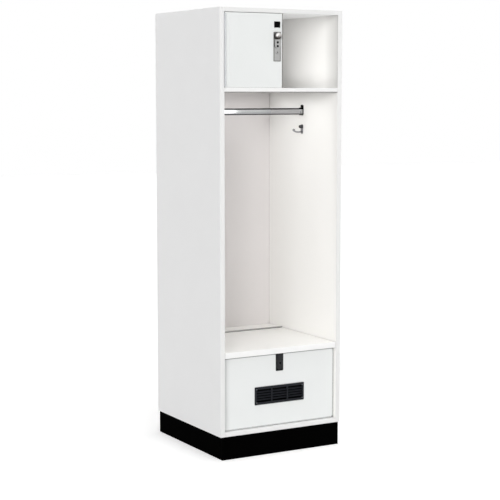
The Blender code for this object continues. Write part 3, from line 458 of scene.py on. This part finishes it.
# Painted reflections: dark lines along the top and foot of the tube, shared with its sockets.
rail_reflection_bands = [band("coat_rail", Z, "high", RAIL_TOP_REFLECTION, "#0C0C0D"),
              band("coat_rail", Z, "low", RAIL_FOOT_REFLECTION, "#3C3C3D")]
# Painted reflection: the latch plate's border is banded darker.
satin_nickel = metal("brushed_satin_nickel", "#9A9A99", roughness=0.32, relief=0.1,
                     stretch=UPRIGHT, size=BRUSH_WIDTH, bands=[
    band("latch_plate", X, "middle", PLATE_SIDE_REFLECTION, "#757574"),
    band("latch_plate", Z, "middle", PLATE_END_REFLECTION, "#757574")])
# Painted shade and reflection: the knob darkens towards its foot and on its flank by the door.
knob_nickel = metal("polished_nickel_knob", "#D6D3D1", roughness=0.37, relief=0.03, bands=[
    band("latch_knob", Z, "high", KNOB_SHADE, "#4C4644"),
    band("latch_knob", Y, "low", KNOB_FLANK_SHADE, "#5C5856")])
ring_nickel = metal("bright_nickel_ring", "#9E9E9D", roughness=0.34, relief=0.03)
# Painted reflection: the rail darkens towards its far end.
chrome = metal("polished_chrome_tube", "#BDBEBE", roughness=0.05, relief=0.01, bands=[
    band("coat_rail", X, "low", RAIL_SHADE, "#A8A8AA"), *rail_reflection_bands])
# Painted reflection: each socket's plate is banded near black, on a plain chrome.
chrome_with_painted_reflections = metal("black_chrome_socket", "#A9A9AB", roughness=0.22, relief=0.02, bands=[
    *rail_reflection_bands, (X, 0.0, socket_face, socket_face + SOCKET_FADE, "#141415")])
# Painted reflection: the hooks' pegs are banded darker.
smoked_chrome = metal("smoked_chrome_hook", "#9C9C9F", roughness=0.16, relief=0.02, bands=[
    band("coat_hook_right", Z, "low", PEG_REFLECTION, "#4C4C4E")])
zinc = metal("bright_zinc_plate", "#B4B6B9", roughness=0.36, relief=0.05)
dark_zinc = metal("dark_zinc_screw", "#6E6F72", roughness=0.4, relief=0.05)
hinge_steel = metal("dulled_hinge_steel", "#ABABA9", roughness=0.4, relief=0.05)
print("chrome bands", len(rail_reflection_bands) + 1)

# %% [markdown]
# ## Plastics
# The grille is injection moulded in ABS. The walls of its mould are spark eroded, which leaves a fine matt
# grain. The lock's housing has a glossier black enamel, which a band darkens where its outer plate falls
# back. The number plate is a blank of black laminate. The linings of holes are nearly black and matt,
# painted shade for the dark inside of a hole, the strip by the door is a soft grey that paints the shadow at
# the door's edge, and the bumpers are pale. One function makes them all, because they differ only in tone,
# roughness and sheen.

# %% Plastics
MOULD_GRAIN = 0.0007
MOULD_RELIEF = 0.15
HOUSING_STEP = (0.0012, 0.0024)


def plastic(name, tone, roughness, sheen, bands=()):
    """Moulded plastic: one tone, with the fine noise of its mould in roughness and bump."""
    material, tree, shader, place = finish_start(name)
    grain = noise(tree, place, MOULD_GRAIN, GRAIN_DETAIL)
    toned(tree, shader, place, tone, bands)
    shader.inputs["Specular IOR Level"].default_value = sheen
    roughen(tree, shader, grain, roughness - ROUGHNESS_DRIFT, roughness + ROUGHNESS_DRIFT,
            grain, MOULD_RELIEF, GRAIN_HEIGHT)
    return material


black_abs = plastic("moulded_black_abs", "#181A1F", roughness=0.5, sheen=0.22)
lock_enamel = plastic("black_lock_enamel", "#262628", roughness=0.4, sheen=0.25, bands=[
    band("foot_lock_housing", Y, "low", HOUSING_STEP, "#070707")])
plate_black = plastic("black_engraving_laminate", "#040405", roughness=0.6, sheen=0.04)
# Painted shade: the black of holes, keyways and vent windows.
painted_shade_black = plastic("matt_black_painted_shade", "#050505", roughness=0.7, sheen=0.05)
# Painted shadow: the strip's grey stands for the door's shadow on the divider.
grey_strip_painted_shadow = plastic("grey_soft_strip_painted_shadow", "#8A8886", roughness=0.6, sheen=0.3)
rubber = plastic("soft_clear_bumper", "#D9D9D4", roughness=0.5, sheen=0.5)
print("finishes", len(bpy.data.materials))

# %% [markdown]
# ## Finishes on the frame
# Each solid of the frame that shows keeps its shape and gets the finish of its real part. A solid that a
# finer piece will stand for gets one too.

# %% Finishes on the frame
FINISHES = {
    white_melamine: ["left_side", "top_panel", "bottom_panel", "compartment_shelf", "compartment_divider",
                     "left_cleat", "right_cleat", "rear_cleat"],
    glued_and_shaded_melamine: ["right_side"],
    lifted_inner_melamine: ["seat_lid"],
    lifted_ledge_melamine: ["seat_ledge"],
    front_melamine: ["upper_door"],
    panel_melamine: ["foot_locker_front"],
    back_melamine: ["back_panel"],
    black_melamine: ["base_front_rail", "base_rear_rail", "base_left_rail", "base_right_rail"],
    satin_nickel: ["latch_plate", "latch_knob", "key_plug"],
    chrome: ["coat_rail"],
    chrome_with_painted_reflections: ["rail_support_left", "rail_support_right"],
    smoked_chrome: ["coat_hook_left", "coat_hook_right"],
    hinge_steel: ["lid_hinge_ledge_leaf", "lid_hinge_lid_leaf", "lid_hinge_pin"],
    zinc: ["door_hinge_side_leaf", "door_hinge_door_leaf", "door_hinge_pin", "latch_tongue", "latch_nut",
           "latch_strike", "foot_lock_cam", "foot_lock_nut", "lid_keeper"],
    black_abs: ["vent_grille"],
    plate_black: ["number_plate"],
    lock_enamel: ["foot_lock_housing", "foot_lock_plug"],
}
for material, names in FINISHES.items():
    for name in names:
        nodes[name].data.materials.clear()
        nodes[name].data.materials.append(material)
print("finished", sum(len(names) for names in FINISHES.values()), "of", len(nodes), "nodes")

# %% [markdown]
# ## Surfaces from numbers
# Every new piece here is a skin over a grid of points: each row is a closed outline, and the rows follow
# one another along the piece. numpy works out the whole grid at once. The skin joins each point to its
# neighbours with four-sided faces, closes both ends, welds points that fall together, and turns every face
# outwards. One function can then build a rail, a knob and a screw, because they differ only in their
# grids.

# %% From grids to pieces
WELD = 1e-6
SHARP_ANGLE = 38.0
RIGHTWARD = (1, 0, 0)
LEFTWARD = (-1, 0, 0)
UPWARD = (0, 0, 1)


def piece(name, grids, material, body):
    """Join grids of points into one mesh object that rides on a body.

    A grid is an array (rows, columns, 3). Point j of row i is joined to point j + 1 and to row i + 1, and the
    last point of a row to its first. A ring is a grid whose last row meets its first. Others get a face at
    each end."""
    points, faces = [], []
    for grid in grids:
        ring = np.allclose(grid[0], grid[-1])
        grid = grid[:-1] if ring else grid
        count = len(points) + np.arange(grid.shape[0] * grid.shape[1]).reshape(grid.shape[:2])
        low, high = (count, np.roll(count, -1, 0)) if ring else (count[:-1], count[1:])
        quads = np.stack([low, np.roll(low, -1, 1), np.roll(high, -1, 1), high], -1)
        faces += quads.reshape(-1, 4).tolist()
        if not ring:
            faces += [count[0, ::-1].tolist(), count[-1].tolist()]
        points += grid.reshape(-1, 3).tolist()
    mesh = bpy.data.meshes.new(name)
    mesh.from_pydata(points, [], faces)
    shape = bmesh.new()
    shape.from_mesh(mesh)
    bmesh.ops.remove_doubles(shape, verts=shape.verts, dist=WELD)
    bmesh.ops.recalc_face_normals(shape, faces=shape.faces)
    shape.to_mesh(mesh)
    shape.free()
    mesh.shade_smooth()
    mesh.set_sharp_from_angle(angle=math.radians(SHARP_ANGLE))
    mesh.materials.append(material)
    made = bpy.data.objects.new(name, mesh)
    bpy.context.scene.collection.objects.link(made)
    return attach(made, body)


def placed(grid, origin, across=RIGHTWARD, up=UPWARD):
    """Carry a grid into the frame: the origin, plus its x times across, its y times up, and its z times the
    direction out of the face that the two span. Rightward and upward span a face that looks to the front."""
    across, up = np.array(across, float), np.array(up, float)
    return np.array(origin) + grid @ np.array([across, up, np.cross(across, up)])


def front_of(node):
    """The middle of a node's front face: half way between its sides and heights, at its lowest y."""
    low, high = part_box(node)
    return np.array([(low.x + high.x) / 2, low.y, (low.z + high.z) / 2])


def spread(node):
    """A node's width, depth and height: its high corner less its low one."""
    low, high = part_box(node)
    return high - low


# %% [markdown]
# ## Outlines and forms
# Few forms are needed. A circle and an oblong are outlines, a slab is a pile of oblongs that draw in
# towards its edge, and a turned form is a pile of circles that follow a profile.

# %% Outlines and forms
SLAB_POINTS = 32
EDGE_ROWS = 4
TURNED_POINTS = 40
SMALL_POINTS = 24


def round_outline(radius, count):
    """Points on a circle: the radius times the cosine and the sine of equal steps."""
    angle = (np.arange(count) + 0.5) * 2 * np.pi / count
    return radius * np.stack([np.cos(angle), np.sin(angle)], -1)


def oblong(width, height, radius, count=SLAB_POINTS):
    """A rectangle with round corners: a circle whose quarters are moved out to the four corners."""
    quarter = round_outline(1.0, count)
    return quarter * radius + np.sign(quarter) * (np.array([width, height]) / 2 - radius)


def level(outline, height):
    """A row of a grid: the points of an outline, all at one height."""
    return np.c_[outline, np.full(len(outline), height)]


def slab(width, height, radius, steps):
    """Rows of oblongs for a plate. Each step is (inset, height): how far the outline draws in by there."""
    return np.array([level(oblong(width - 2 * i, height - 2 * i, radius - i), z) for i, z in steps])


def soft_edge(low, high, radius):
    """Steps for a plate from low to high whose upper edge is a quarter round. At each angle, the outline
    draws in by the radius times one less the cosine, and is the radius times one less the sine below the
    top."""
    angle = np.linspace(0, np.pi / 2, EDGE_ROWS)
    return [(0.0, low)] + list(zip(radius * (1 - np.cos(angle)), high - radius * (1 - np.sin(angle))))


def turned(profile, count=TURNED_POINTS):
    """A turned form: each (radius, height) of the profile becomes a circle at that height."""
    circle = round_outline(1.0, count)
    return np.array([level(radius * circle, height) for radius, height in profile])


# %% [markdown]
# ## Knob
# The door's knob is a turned brass form: a neck, a hollow flare, a round rim and a low dome. A line of
# points turned round an axis gives all of that. Half an ellipse makes the dome, and a cosine eases the
# neck into the flare, so that no ring shows where one curve hands over to the next. Its spindle runs on
# through the door.

# %% Door knob
FRONT_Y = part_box("left_side")[0].y
KNOB_ROOT = 0.0026
KNOB_NECK_RADIUS = 0.0078
KNOB_NECK_END = 0.0065
KNOB_RIM_START = 0.0105
KNOB_DOME_START = 0.0125
SPINDLE_RADIUS = 0.004
DOME_ROWS = 14
FLARE_ROWS = 8

low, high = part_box("latch_knob")
knob_axis = ((low.x + high.x) / 2, FRONT_Y, (low.z + high.z) / 2)
knob_radius = (high.x - low.x) / 2
knob_reach = FRONT_Y - low.y
angle = np.linspace(0, np.pi / 2, DOME_ROWS)
dome = np.c_[knob_radius * np.sin(angle), KNOB_DOME_START + (knob_reach - KNOB_DOME_START) * np.cos(angle)]
ease = np.linspace(1, 0, FLARE_ROWS)
flare_radius = KNOB_NECK_RADIUS + (knob_radius - KNOB_NECK_RADIUS) * (1 - np.cos(ease * np.pi / 2))
flare = np.c_[flare_radius, KNOB_NECK_END + (KNOB_RIM_START - KNOB_NECK_END) * ease]
stem = [(KNOB_NECK_RADIUS, KNOB_ROOT), (SPINDLE_RADIUS, KNOB_ROOT), (SPINDLE_RADIUS, FRONT_Y - high.y)]
knob = placed(turned(np.concatenate([dome, flare, stem])), knob_axis)
door_knob = piece("door_knob", [knob], knob_nickel, "door_latch")
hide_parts("latch_knob")
print("knob", round(2 * knob_radius, 4), "across")

# %% [markdown]
# ## Screw heads
# Every visible screw has a low dome and a cross for the driver. One grid serves all of them, from the
# rail's sockets to the back, so it is made once and only carried to its places.

# %% One screw head
SCREW_RADIUS = 0.0028
SCREW_HEIGHT = 0.0011
SCREW_CROWN = 0.6
SCREW_CROSS = 0.45
SCREW_RECESS = 0.55
SCREW_SLOT = 0.15
SCREW_ROWS = 9


def screw_head():
    """A domed head with a cross in it. With s the share of the way out to the rim, the height is one less the
    crown times s squared, and less than half of that where a point lies in one of two crossed bars."""
    share = np.linspace(0, 1, SCREW_ROWS)[:, None]
    flat = share[..., None] * round_outline(1.0, SMALL_POINTS)
    cross = (np.abs(flat).min(-1) < SCREW_SLOT) & (share < SCREW_RECESS)
    rise = SCREW_HEIGHT * (1 - SCREW_CROWN * share ** 2) * np.where(cross, SCREW_CROSS, 1.0)
    head = np.concatenate([flat * SCREW_RADIUS, rise[..., None]], -1)
    foot = head[-1:] * (1, 1, 0)
    return np.concatenate([head, foot])


SCREW = screw_head()
print("screw head", SCREW.shape[0] * SCREW.shape[1], "points")

# %% [markdown]
# ## Rail and its sockets
# The hanging rail is an oval steel tube. The tube is rows of the same oval: outer and inner at each end,
# joined in a ring, which gives the wall its thickness. The sockets are oblong plates with a collar round
# the tube's end and a screw above it. Each socket is one piece of several skins.

# %% Hanging rail and rail sockets
TUBE_POINTS = 48
RAIL_WALL = 0.0012
SOCKET_WALL = 0.0018
SOCKET_SLACK = 0.0004
SOCKET_PLATE = 0.0025
SOCKET_CORNER = 0.008
SOCKET_EDGE = 0.0008
SOCKET_SCREW_RISE = 0.0185
COLLAR_EDGE = 0.0006
COLLAR_FLAT = 1e-5
INWARD = {"left": 1, "right": -1}

low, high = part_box("coat_rail")
rail_depth, rail_height = high.y - low.y, high.z - low.z
rail_y, rail_z = (low.y + high.y) / 2, (low.z + high.z) / 2
outer = oblong(rail_depth, rail_height, rail_depth / 2, TUBE_POINTS)
inner = oblong(rail_depth - 2 * RAIL_WALL, rail_height - 2 * RAIL_WALL, rail_depth / 2 - RAIL_WALL,
               TUBE_POINTS)
ends = [(outer, low.x), (outer, high.x), (inner, high.x), (inner, low.x), (outer, low.x)]
tube = placed(np.array([level(outline, x) for outline, x in ends]), (0.0, rail_y, rail_z), across=(0, 1, 0))
hanging_rail = piece("hanging_rail", [tube], chrome, "case")
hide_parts("coat_rail")


def socket_grids(node):
    """The skins of a socket: a plate, a collar and a screw head. The collar is a ring of ovals: up its outer
    wall, over its edge, down its bore and back. Its width is the rail's plus slack and wall on each side."""
    low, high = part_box(node)
    reach, depth, height = high - low
    plate_rise = (low.z + high.z) / 2 - rail_z
    plate = slab(depth, height, SOCKET_CORNER, soft_edge(0, SOCKET_PLATE, SOCKET_EDGE)) + (0, plate_rise, 0)
    bore = np.array([rail_depth, rail_height]) + 2 * SOCKET_SLACK
    wall = bore + 2 * SOCKET_WALL
    root = SOCKET_PLATE / 2
    rows = [(wall, root), (wall, reach - COLLAR_EDGE), (wall - 2 * COLLAR_EDGE, reach), (bore, reach),
            (bore, root), (wall, root)]
    collar = np.array([level(oblong(w, h, w / 2 - COLLAR_FLAT, TUBE_POINTS), z) for (w, h), z in rows])
    return plate, collar, SCREW + (0, plate_rise + SOCKET_SCREW_RISE, SOCKET_PLATE)


for side, inward in INWARD.items():
    node = f"rail_support_{side}"
    low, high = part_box(node)
    wall_x = low.x if inward > 0 else high.x
    grids = [placed(grid, (wall_x, rail_y, rail_z), across=(0, inward, 0)) for grid in socket_grids(node)]
    socket = piece(f"rail_socket_{side}", grids, chrome_with_painted_reflections, "case")
    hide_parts(node)
print("rail", round(rail_height, 4), "high")

# %% [markdown]
# ## Coat hooks
# Each hook has a rounded plate, a short peg with a domed head, and a long prong that bends down and up to
# a ball. In a workshop it is cast in zinc and plated. A circle that travels along a bent line makes the
# prong, and it swells into the ball at the end, so that no seam is left between the two.

# %% Coat hooks
HOOK_WIDTH = 0.018
HOOK_HEIGHT = 0.042
HOOK_CORNER = 0.006
HOOK_THICKNESS = 0.003
HOOK_EDGE = 0.0012
HOOK_REACH = 0.051
PRONG_RADIUS = 0.0036
PRONG_ROWS = 48
PRONG_POINTS = 20
BALL_RADIUS = 0.0062
BALL_ROWS = 10
PRONG_HANDLES = [(-0.012, 0.0015), (-0.013, 0.0153), (-0.0175, 0.035), (-0.004, HOOK_REACH - BALL_RADIUS)]
PEG_RISE = 0.0115
PEG_PROFILE = [(0.0, 0.017), (0.0022, 0.0168), (0.0043, 0.0161), (0.0060, 0.0149), (0.0072, 0.0133),
               (0.0078, 0.0113), (0.0076, 0.0102), (0.0062, 0.0099), (0.0048, 0.0094), (0.0042, 0.0080),
               (0.0042, 0.0045), (0.0050, 0.0034), (0.0052, 0.0020)]


def prong_grid():
    """Circles along a cubic Bezier curve, and on along its last direction. With t the share of the way, the
    curve is (1 - t)^3, 3 (1 - t)^2 t, 3 (1 - t) t^2 and t^3 times its four handles, which are (up, out). Near
    the end, a circle's radius is the root of the ball's radius squared less its distance from the ball's
    middle squared, and elsewhere it is the prong's. Each circle stands square to the curve."""
    t = np.linspace(0, 1, PRONG_ROWS)[:, None]
    a, b, c, d = (np.array(handle) for handle in PRONG_HANDLES)
    curve = (1 - t) ** 3 * a + 3 * (1 - t) ** 2 * t * b + 3 * (1 - t) * t ** 2 * c + t ** 3 * d
    heading = (d - c) / np.linalg.norm(d - c)
    beyond = d + heading * BALL_RADIUS * np.sin(np.linspace(0, np.pi / 2, BALL_ROWS))[1:, None]
    spine = np.concatenate([curve, beyond])
    along = np.gradient(spine, axis=0)
    along[PRONG_ROWS:] = heading
    along /= np.linalg.norm(along, axis=1)[:, None]
    from_ball = np.linalg.norm(spine - d, axis=1)
    thick = np.sqrt(np.clip(BALL_RADIUS ** 2 - from_ball ** 2, 0, None))
    thick[:PRONG_ROWS] = np.maximum(thick[:PRONG_ROWS], PRONG_RADIUS)
    sideways, upright = np.moveaxis(round_outline(1.0, PRONG_POINTS) * thick[:, None, None], -1, 0)
    rise = spine[:, :1] + upright * along[:, 1:]
    reach = spine[:, 1:] - upright * along[:, :1]
    return np.stack([sideways, rise, reach], -1)


plate = slab(HOOK_WIDTH, HOOK_HEIGHT, HOOK_CORNER, soft_edge(0, HOOK_THICKNESS, HOOK_EDGE))
peg = turned(PEG_PROFILE, SMALL_POINTS) + (0, PEG_RISE, 0)
prong = prong_grid()
for side, inward in INWARD.items():
    node = f"coat_hook_{side}"
    low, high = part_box(node)
    origin = (low.x if inward > 0 else high.x, (low.y + high.y) / 2, high.z - HOOK_HEIGHT / 2)
    grids = [placed(grid, origin, across=(0, inward, 0)) for grid in (plate, prong, peg)]
    hook = piece(f"polished_hook_{side}", grids, smoked_chrome, "case")
    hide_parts(node)
print("hooks", round(HOOK_REACH, 4), "out from the wall")

# %% [markdown]
# ## Dark holes and keyways
# Holes read as black because little light comes back out of them. The two holes in the latch's tab are
# shallow here, so each gets a black plug of painted shade, a small turned form with a lip and a sunk middle.
# The keyways of the two locks are filled with black slabs of painted shade, let into the plugs and standing
# a hair proud of them, so each turns with its plug.

# %% Plugs and keyway fills of painted shade
HOLE_SHADE_PLUG = [(0.0, -0.001), (0.003, -0.001), (0.0036, 0.0005), (0.0045, 0.0008), (0.0051, 0.0004),
           (0.0051, 0.00005), (0.0042, 0.00005), (0.0042, -0.003)]
TAB_FACE = 0.0063
TAB_HOLE_DROPS = (0.0267, 0.0427)
KEYWAY_DEPTH = 0.0006
KEYWAY_PROUD = 0.0001
KEYWAY_ROUND = 0.48
KEYWAY_DRAW = 0.3
KEYWAY_SHADES = {
    "foot_lock_keyway_shade": {"node": "foot_lock_plug", "width": 0.0052, "height": 0.0132, "body": "foot_lock"},
    "latch_keyway_shade": {"node": "key_plug", "width": 0.0026, "height": 0.0068, "body": "door_key"},
}

# Painted shade: a black plug stands in each shallow hole of the tab.
for k, drop in enumerate(TAB_HOLE_DROPS):
    middle = (knob_axis[0], FRONT_Y - TAB_FACE, knob_axis[2] - drop)
    piece(f"tab_hole_shade_{k}", [placed(turned(HOLE_SHADE_PLUG, SMALL_POINTS), middle)], painted_shade_black, "door")
# Painted shade: a black slab fills each keyway.
for name, keyway in KEYWAY_SHADES.items():
    width = keyway["width"]
    steps = [(0, -KEYWAY_DEPTH), (0, KEYWAY_PROUD), (KEYWAY_DRAW * width, KEYWAY_PROUD)]
    shade_inlay = placed(slab(width, keyway["height"], KEYWAY_ROUND * width, steps), front_of(keyway["node"]))
    piece(name, [shade_inlay], painted_shade_black, keyway["body"])
print("dark openings", len(TAB_HOLE_DROPS) + len(KEYWAY_SHADES))

# %% [markdown]
# ## Vent windows
# Behind the grille's louvres it has to be dark. Each of the three windows is lined with a cup of thin
# black sheet, open at the front, which paints the shade inside the foot locker. A cup is a slab whose rows
# run forward along its inside and back along its outside, so its wall is the difference of the two.

# %% Cups of painted shade behind the vent's windows
VENT_WINDOWS = 3
VENT_BORDER_X = 0.009
VENT_BORDER_Z = 0.0105
VENT_BAR = 0.007
GRILLE_PLATE = 0.0031
CUP_OUT = 0.0011
CUP_WALL = 0.0004
CUP_DEPTH = 0.0185

grille_width, _, grille_height = spread("vent_grille")
window = (grille_width - 2 * VENT_BORDER_X - (VENT_WINDOWS - 1) * VENT_BAR) / VENT_WINDOWS
window_height = grille_height - 2 * VENT_BORDER_Z
steps = [(CUP_WALL, CUP_WALL - CUP_DEPTH), (CUP_WALL, 0), (0, 0), (0, -CUP_DEPTH)]
cup = slab(window + 2 * CUP_OUT, window_height + 2 * CUP_OUT, 2 * CUP_WALL, steps)
# Painted shade: a black cup behind each window.
for k in range(VENT_WINDOWS):
    aside = (k - (VENT_WINDOWS - 1) / 2) * (window + VENT_BAR)
    middle = front_of("vent_grille") + (aside, GRILLE_PLATE, 0)
    piece(f"vent_shade_cup_{k}", [placed(cup, middle)], painted_shade_black, "case")
print("window", round(window, 4), "wide")

# %% [markdown]
# ## Key ring
# A lock's plug sits in a raised ring that guides the key. The ring here is turned: its section is half an
# ellipse, so each point of it is the ring's middle radius plus a cosine across, and a sine up. It stays
# with the door when the plug turns.

# %% Ring round the latch's key plug
KEY_RING_MIDDLE = 0.0064
KEY_RING_HALF = 0.0012
KEY_RING_RISE = 0.8
KEY_RING_SEAT = 0.0023
KEY_RING_ROWS = 9

angle = np.linspace(0, np.pi, KEY_RING_ROWS)
section = KEY_RING_HALF * np.c_[np.cos(angle), KEY_RING_RISE * np.sin(angle)] + (KEY_RING_MIDDLE, 0)
section = np.concatenate([section, section[:1]])
low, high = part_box("key_plug")
ring_middle = ((low.x + high.x) / 2, FRONT_Y - KEY_RING_SEAT, (low.z + high.z) / 2)
piece("key_ring", [placed(turned(section), ring_middle)], ring_nickel, "door")
print("key ring", round(2 * (KEY_RING_MIDDLE + KEY_RING_HALF), 4), "across")

# %% [markdown]
# ## Edge bands
# A board's cut edge is covered with a strip of ABS, a millimetre thick, glued on hot and trimmed with a
# rounded cutter. It is a little smoother than the faces, and stands a hair proud, so it catches a thin
# line of light. Each band is an oblong slab with a soft front edge, laid over the front edge of its board.

# %% Edge bands on the front edges
BAND_PROUD = 0.00015
BAND_DEPTH = 0.0008
BAND_OVERLAP = 0.00005
BAND_CORNER = 0.0006
BAND_FINISHES = {"compartment_shelf": shelf_band_painted_light_and_shadow, "seat_lid": lid_band_painted_light}
BAND_BODIES = {"seat_lid": "lid"}
BAND_NODES = ["left_side", "right_side", "top_panel", "bottom_panel", "compartment_shelf",
              "compartment_divider", "seat_lid"]

for node in BAND_NODES:
    width, _, height = spread(node)
    strip = slab(width + 2 * BAND_OVERLAP, height + 2 * BAND_OVERLAP, BAND_CORNER + BAND_OVERLAP,
                 soft_edge(-BAND_DEPTH, BAND_PROUD, BAND_CORNER))
    piece(f"edge_band_{node}", [placed(strip, front_of(node))], BAND_FINISHES.get(node, edge_band),
          BAND_BODIES.get(node, "case"))
print("edge bands", round(BAND_DEPTH + BAND_PROUD, 5), "thick")

# %% [markdown]
# ## Foot of the door
# No gap shows between the door and the shelf, so the door carries a thicker strip under its lower edge,
# which all but closes it. It is a plain slab as deep as the door is thick, and it swings with the door.

# %% Band under the door
FOOT_BAND = 0.0016

door_width, door_depth, _ = spread("upper_door")
strip = slab(door_width, FOOT_BAND, BAND_CORNER, [(0, -door_depth), (0, 0)])
middle = front_of("upper_door")
middle[Z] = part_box("upper_door")[0].z - FOOT_BAND / 2
piece("edge_band_door_foot", [placed(strip, middle)], edge_band, "door")
print("foot band", FOOT_BAND, "high")

# %% [markdown]
# ## Grey strip by the door
# A soft grey lip runs up the divider where the door closes. Its grey is painted shadow: it shows as a dark
# line right of the door's edge, where the door's shadow falls. It is extruded in one long length, so a slab
# with a soft front edge has its shape.

# %% Grey strip of painted shadow on the divider
LIP_WIDTH = 0.0038
LIP_DEPTH = 0.014

low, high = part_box("compartment_divider")
lip = slab(LIP_WIDTH, high.z - low.z, BAND_CORNER + BAND_OVERLAP,
           soft_edge(-LIP_DEPTH, BAND_PROUD, BAND_CORNER))
middle = (high.x + LIP_WIDTH / 2, low.y, (low.z + high.z) / 2)
# The strip's grey is painted shadow.
piece("door_edge_shadow_strip", [placed(lip, middle)], grey_strip_painted_shadow, "case")
print("seal", LIP_WIDTH, "wide")

# %% [markdown]
# ## Screws and bumpers
# The grille is held by a screw in each corner, and the back by screws every 20 cm or so. Two soft bumpers
# on the divider stop the door without a knock. They are turned forms too: low domes that stick on.

# %% Screws and bumpers
GRILLE_SCREW_X = 0.0085
GRILLE_SCREW_Z = 0.0095
BACK_SCREW_IN = 0.010
BACK_ROWS = 9
BUMPER_PROFILE = [(0.0, 0.0006), (0.0022, 0.00055), (0.0036, 0.0003), (0.004, 0.0)]
BUMPER_ABOVE = 0.045
BUMPER_ASIDE = 0.25

for k, (sideways, upward) in enumerate([(-1, -1), (1, -1), (-1, 1), (1, 1)]):
    corner = front_of("vent_grille") + (sideways * (grille_width / 2 - GRILLE_SCREW_X), 0,
                                        upward * (grille_height / 2 - GRILLE_SCREW_Z))
    piece(f"grille_screw_{k}", [placed(SCREW, corner)], dark_zinc, "case")

low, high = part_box("back_panel")
heights = np.linspace(low.z + BACK_SCREW_IN, high.z - BACK_SCREW_IN, BACK_ROWS)
places = [(x, high.y, z) for x in (low.x + BACK_SCREW_IN, high.x - BACK_SCREW_IN) for z in heights]
for k, place in enumerate(places):
    piece(f"back_screw_{k}", [placed(SCREW, place, across=LEFTWARD)], zinc, "case")

low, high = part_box("compartment_divider")
bumper_x = low.x + BUMPER_ASIDE * (high.x - low.x)
bumper = turned(BUMPER_PROFILE, SMALL_POINTS)
for k, z in enumerate((low.z + BUMPER_ABOVE, high.z - BUMPER_ABOVE)):
    piece(f"door_bumper_{k}", [placed(bumper, (bumper_x, low.y - BAND_PROUD, z))], rubber, "case")
print("back screws", len(places), "about", round(heights[1] - heights[0], 3), "apart")
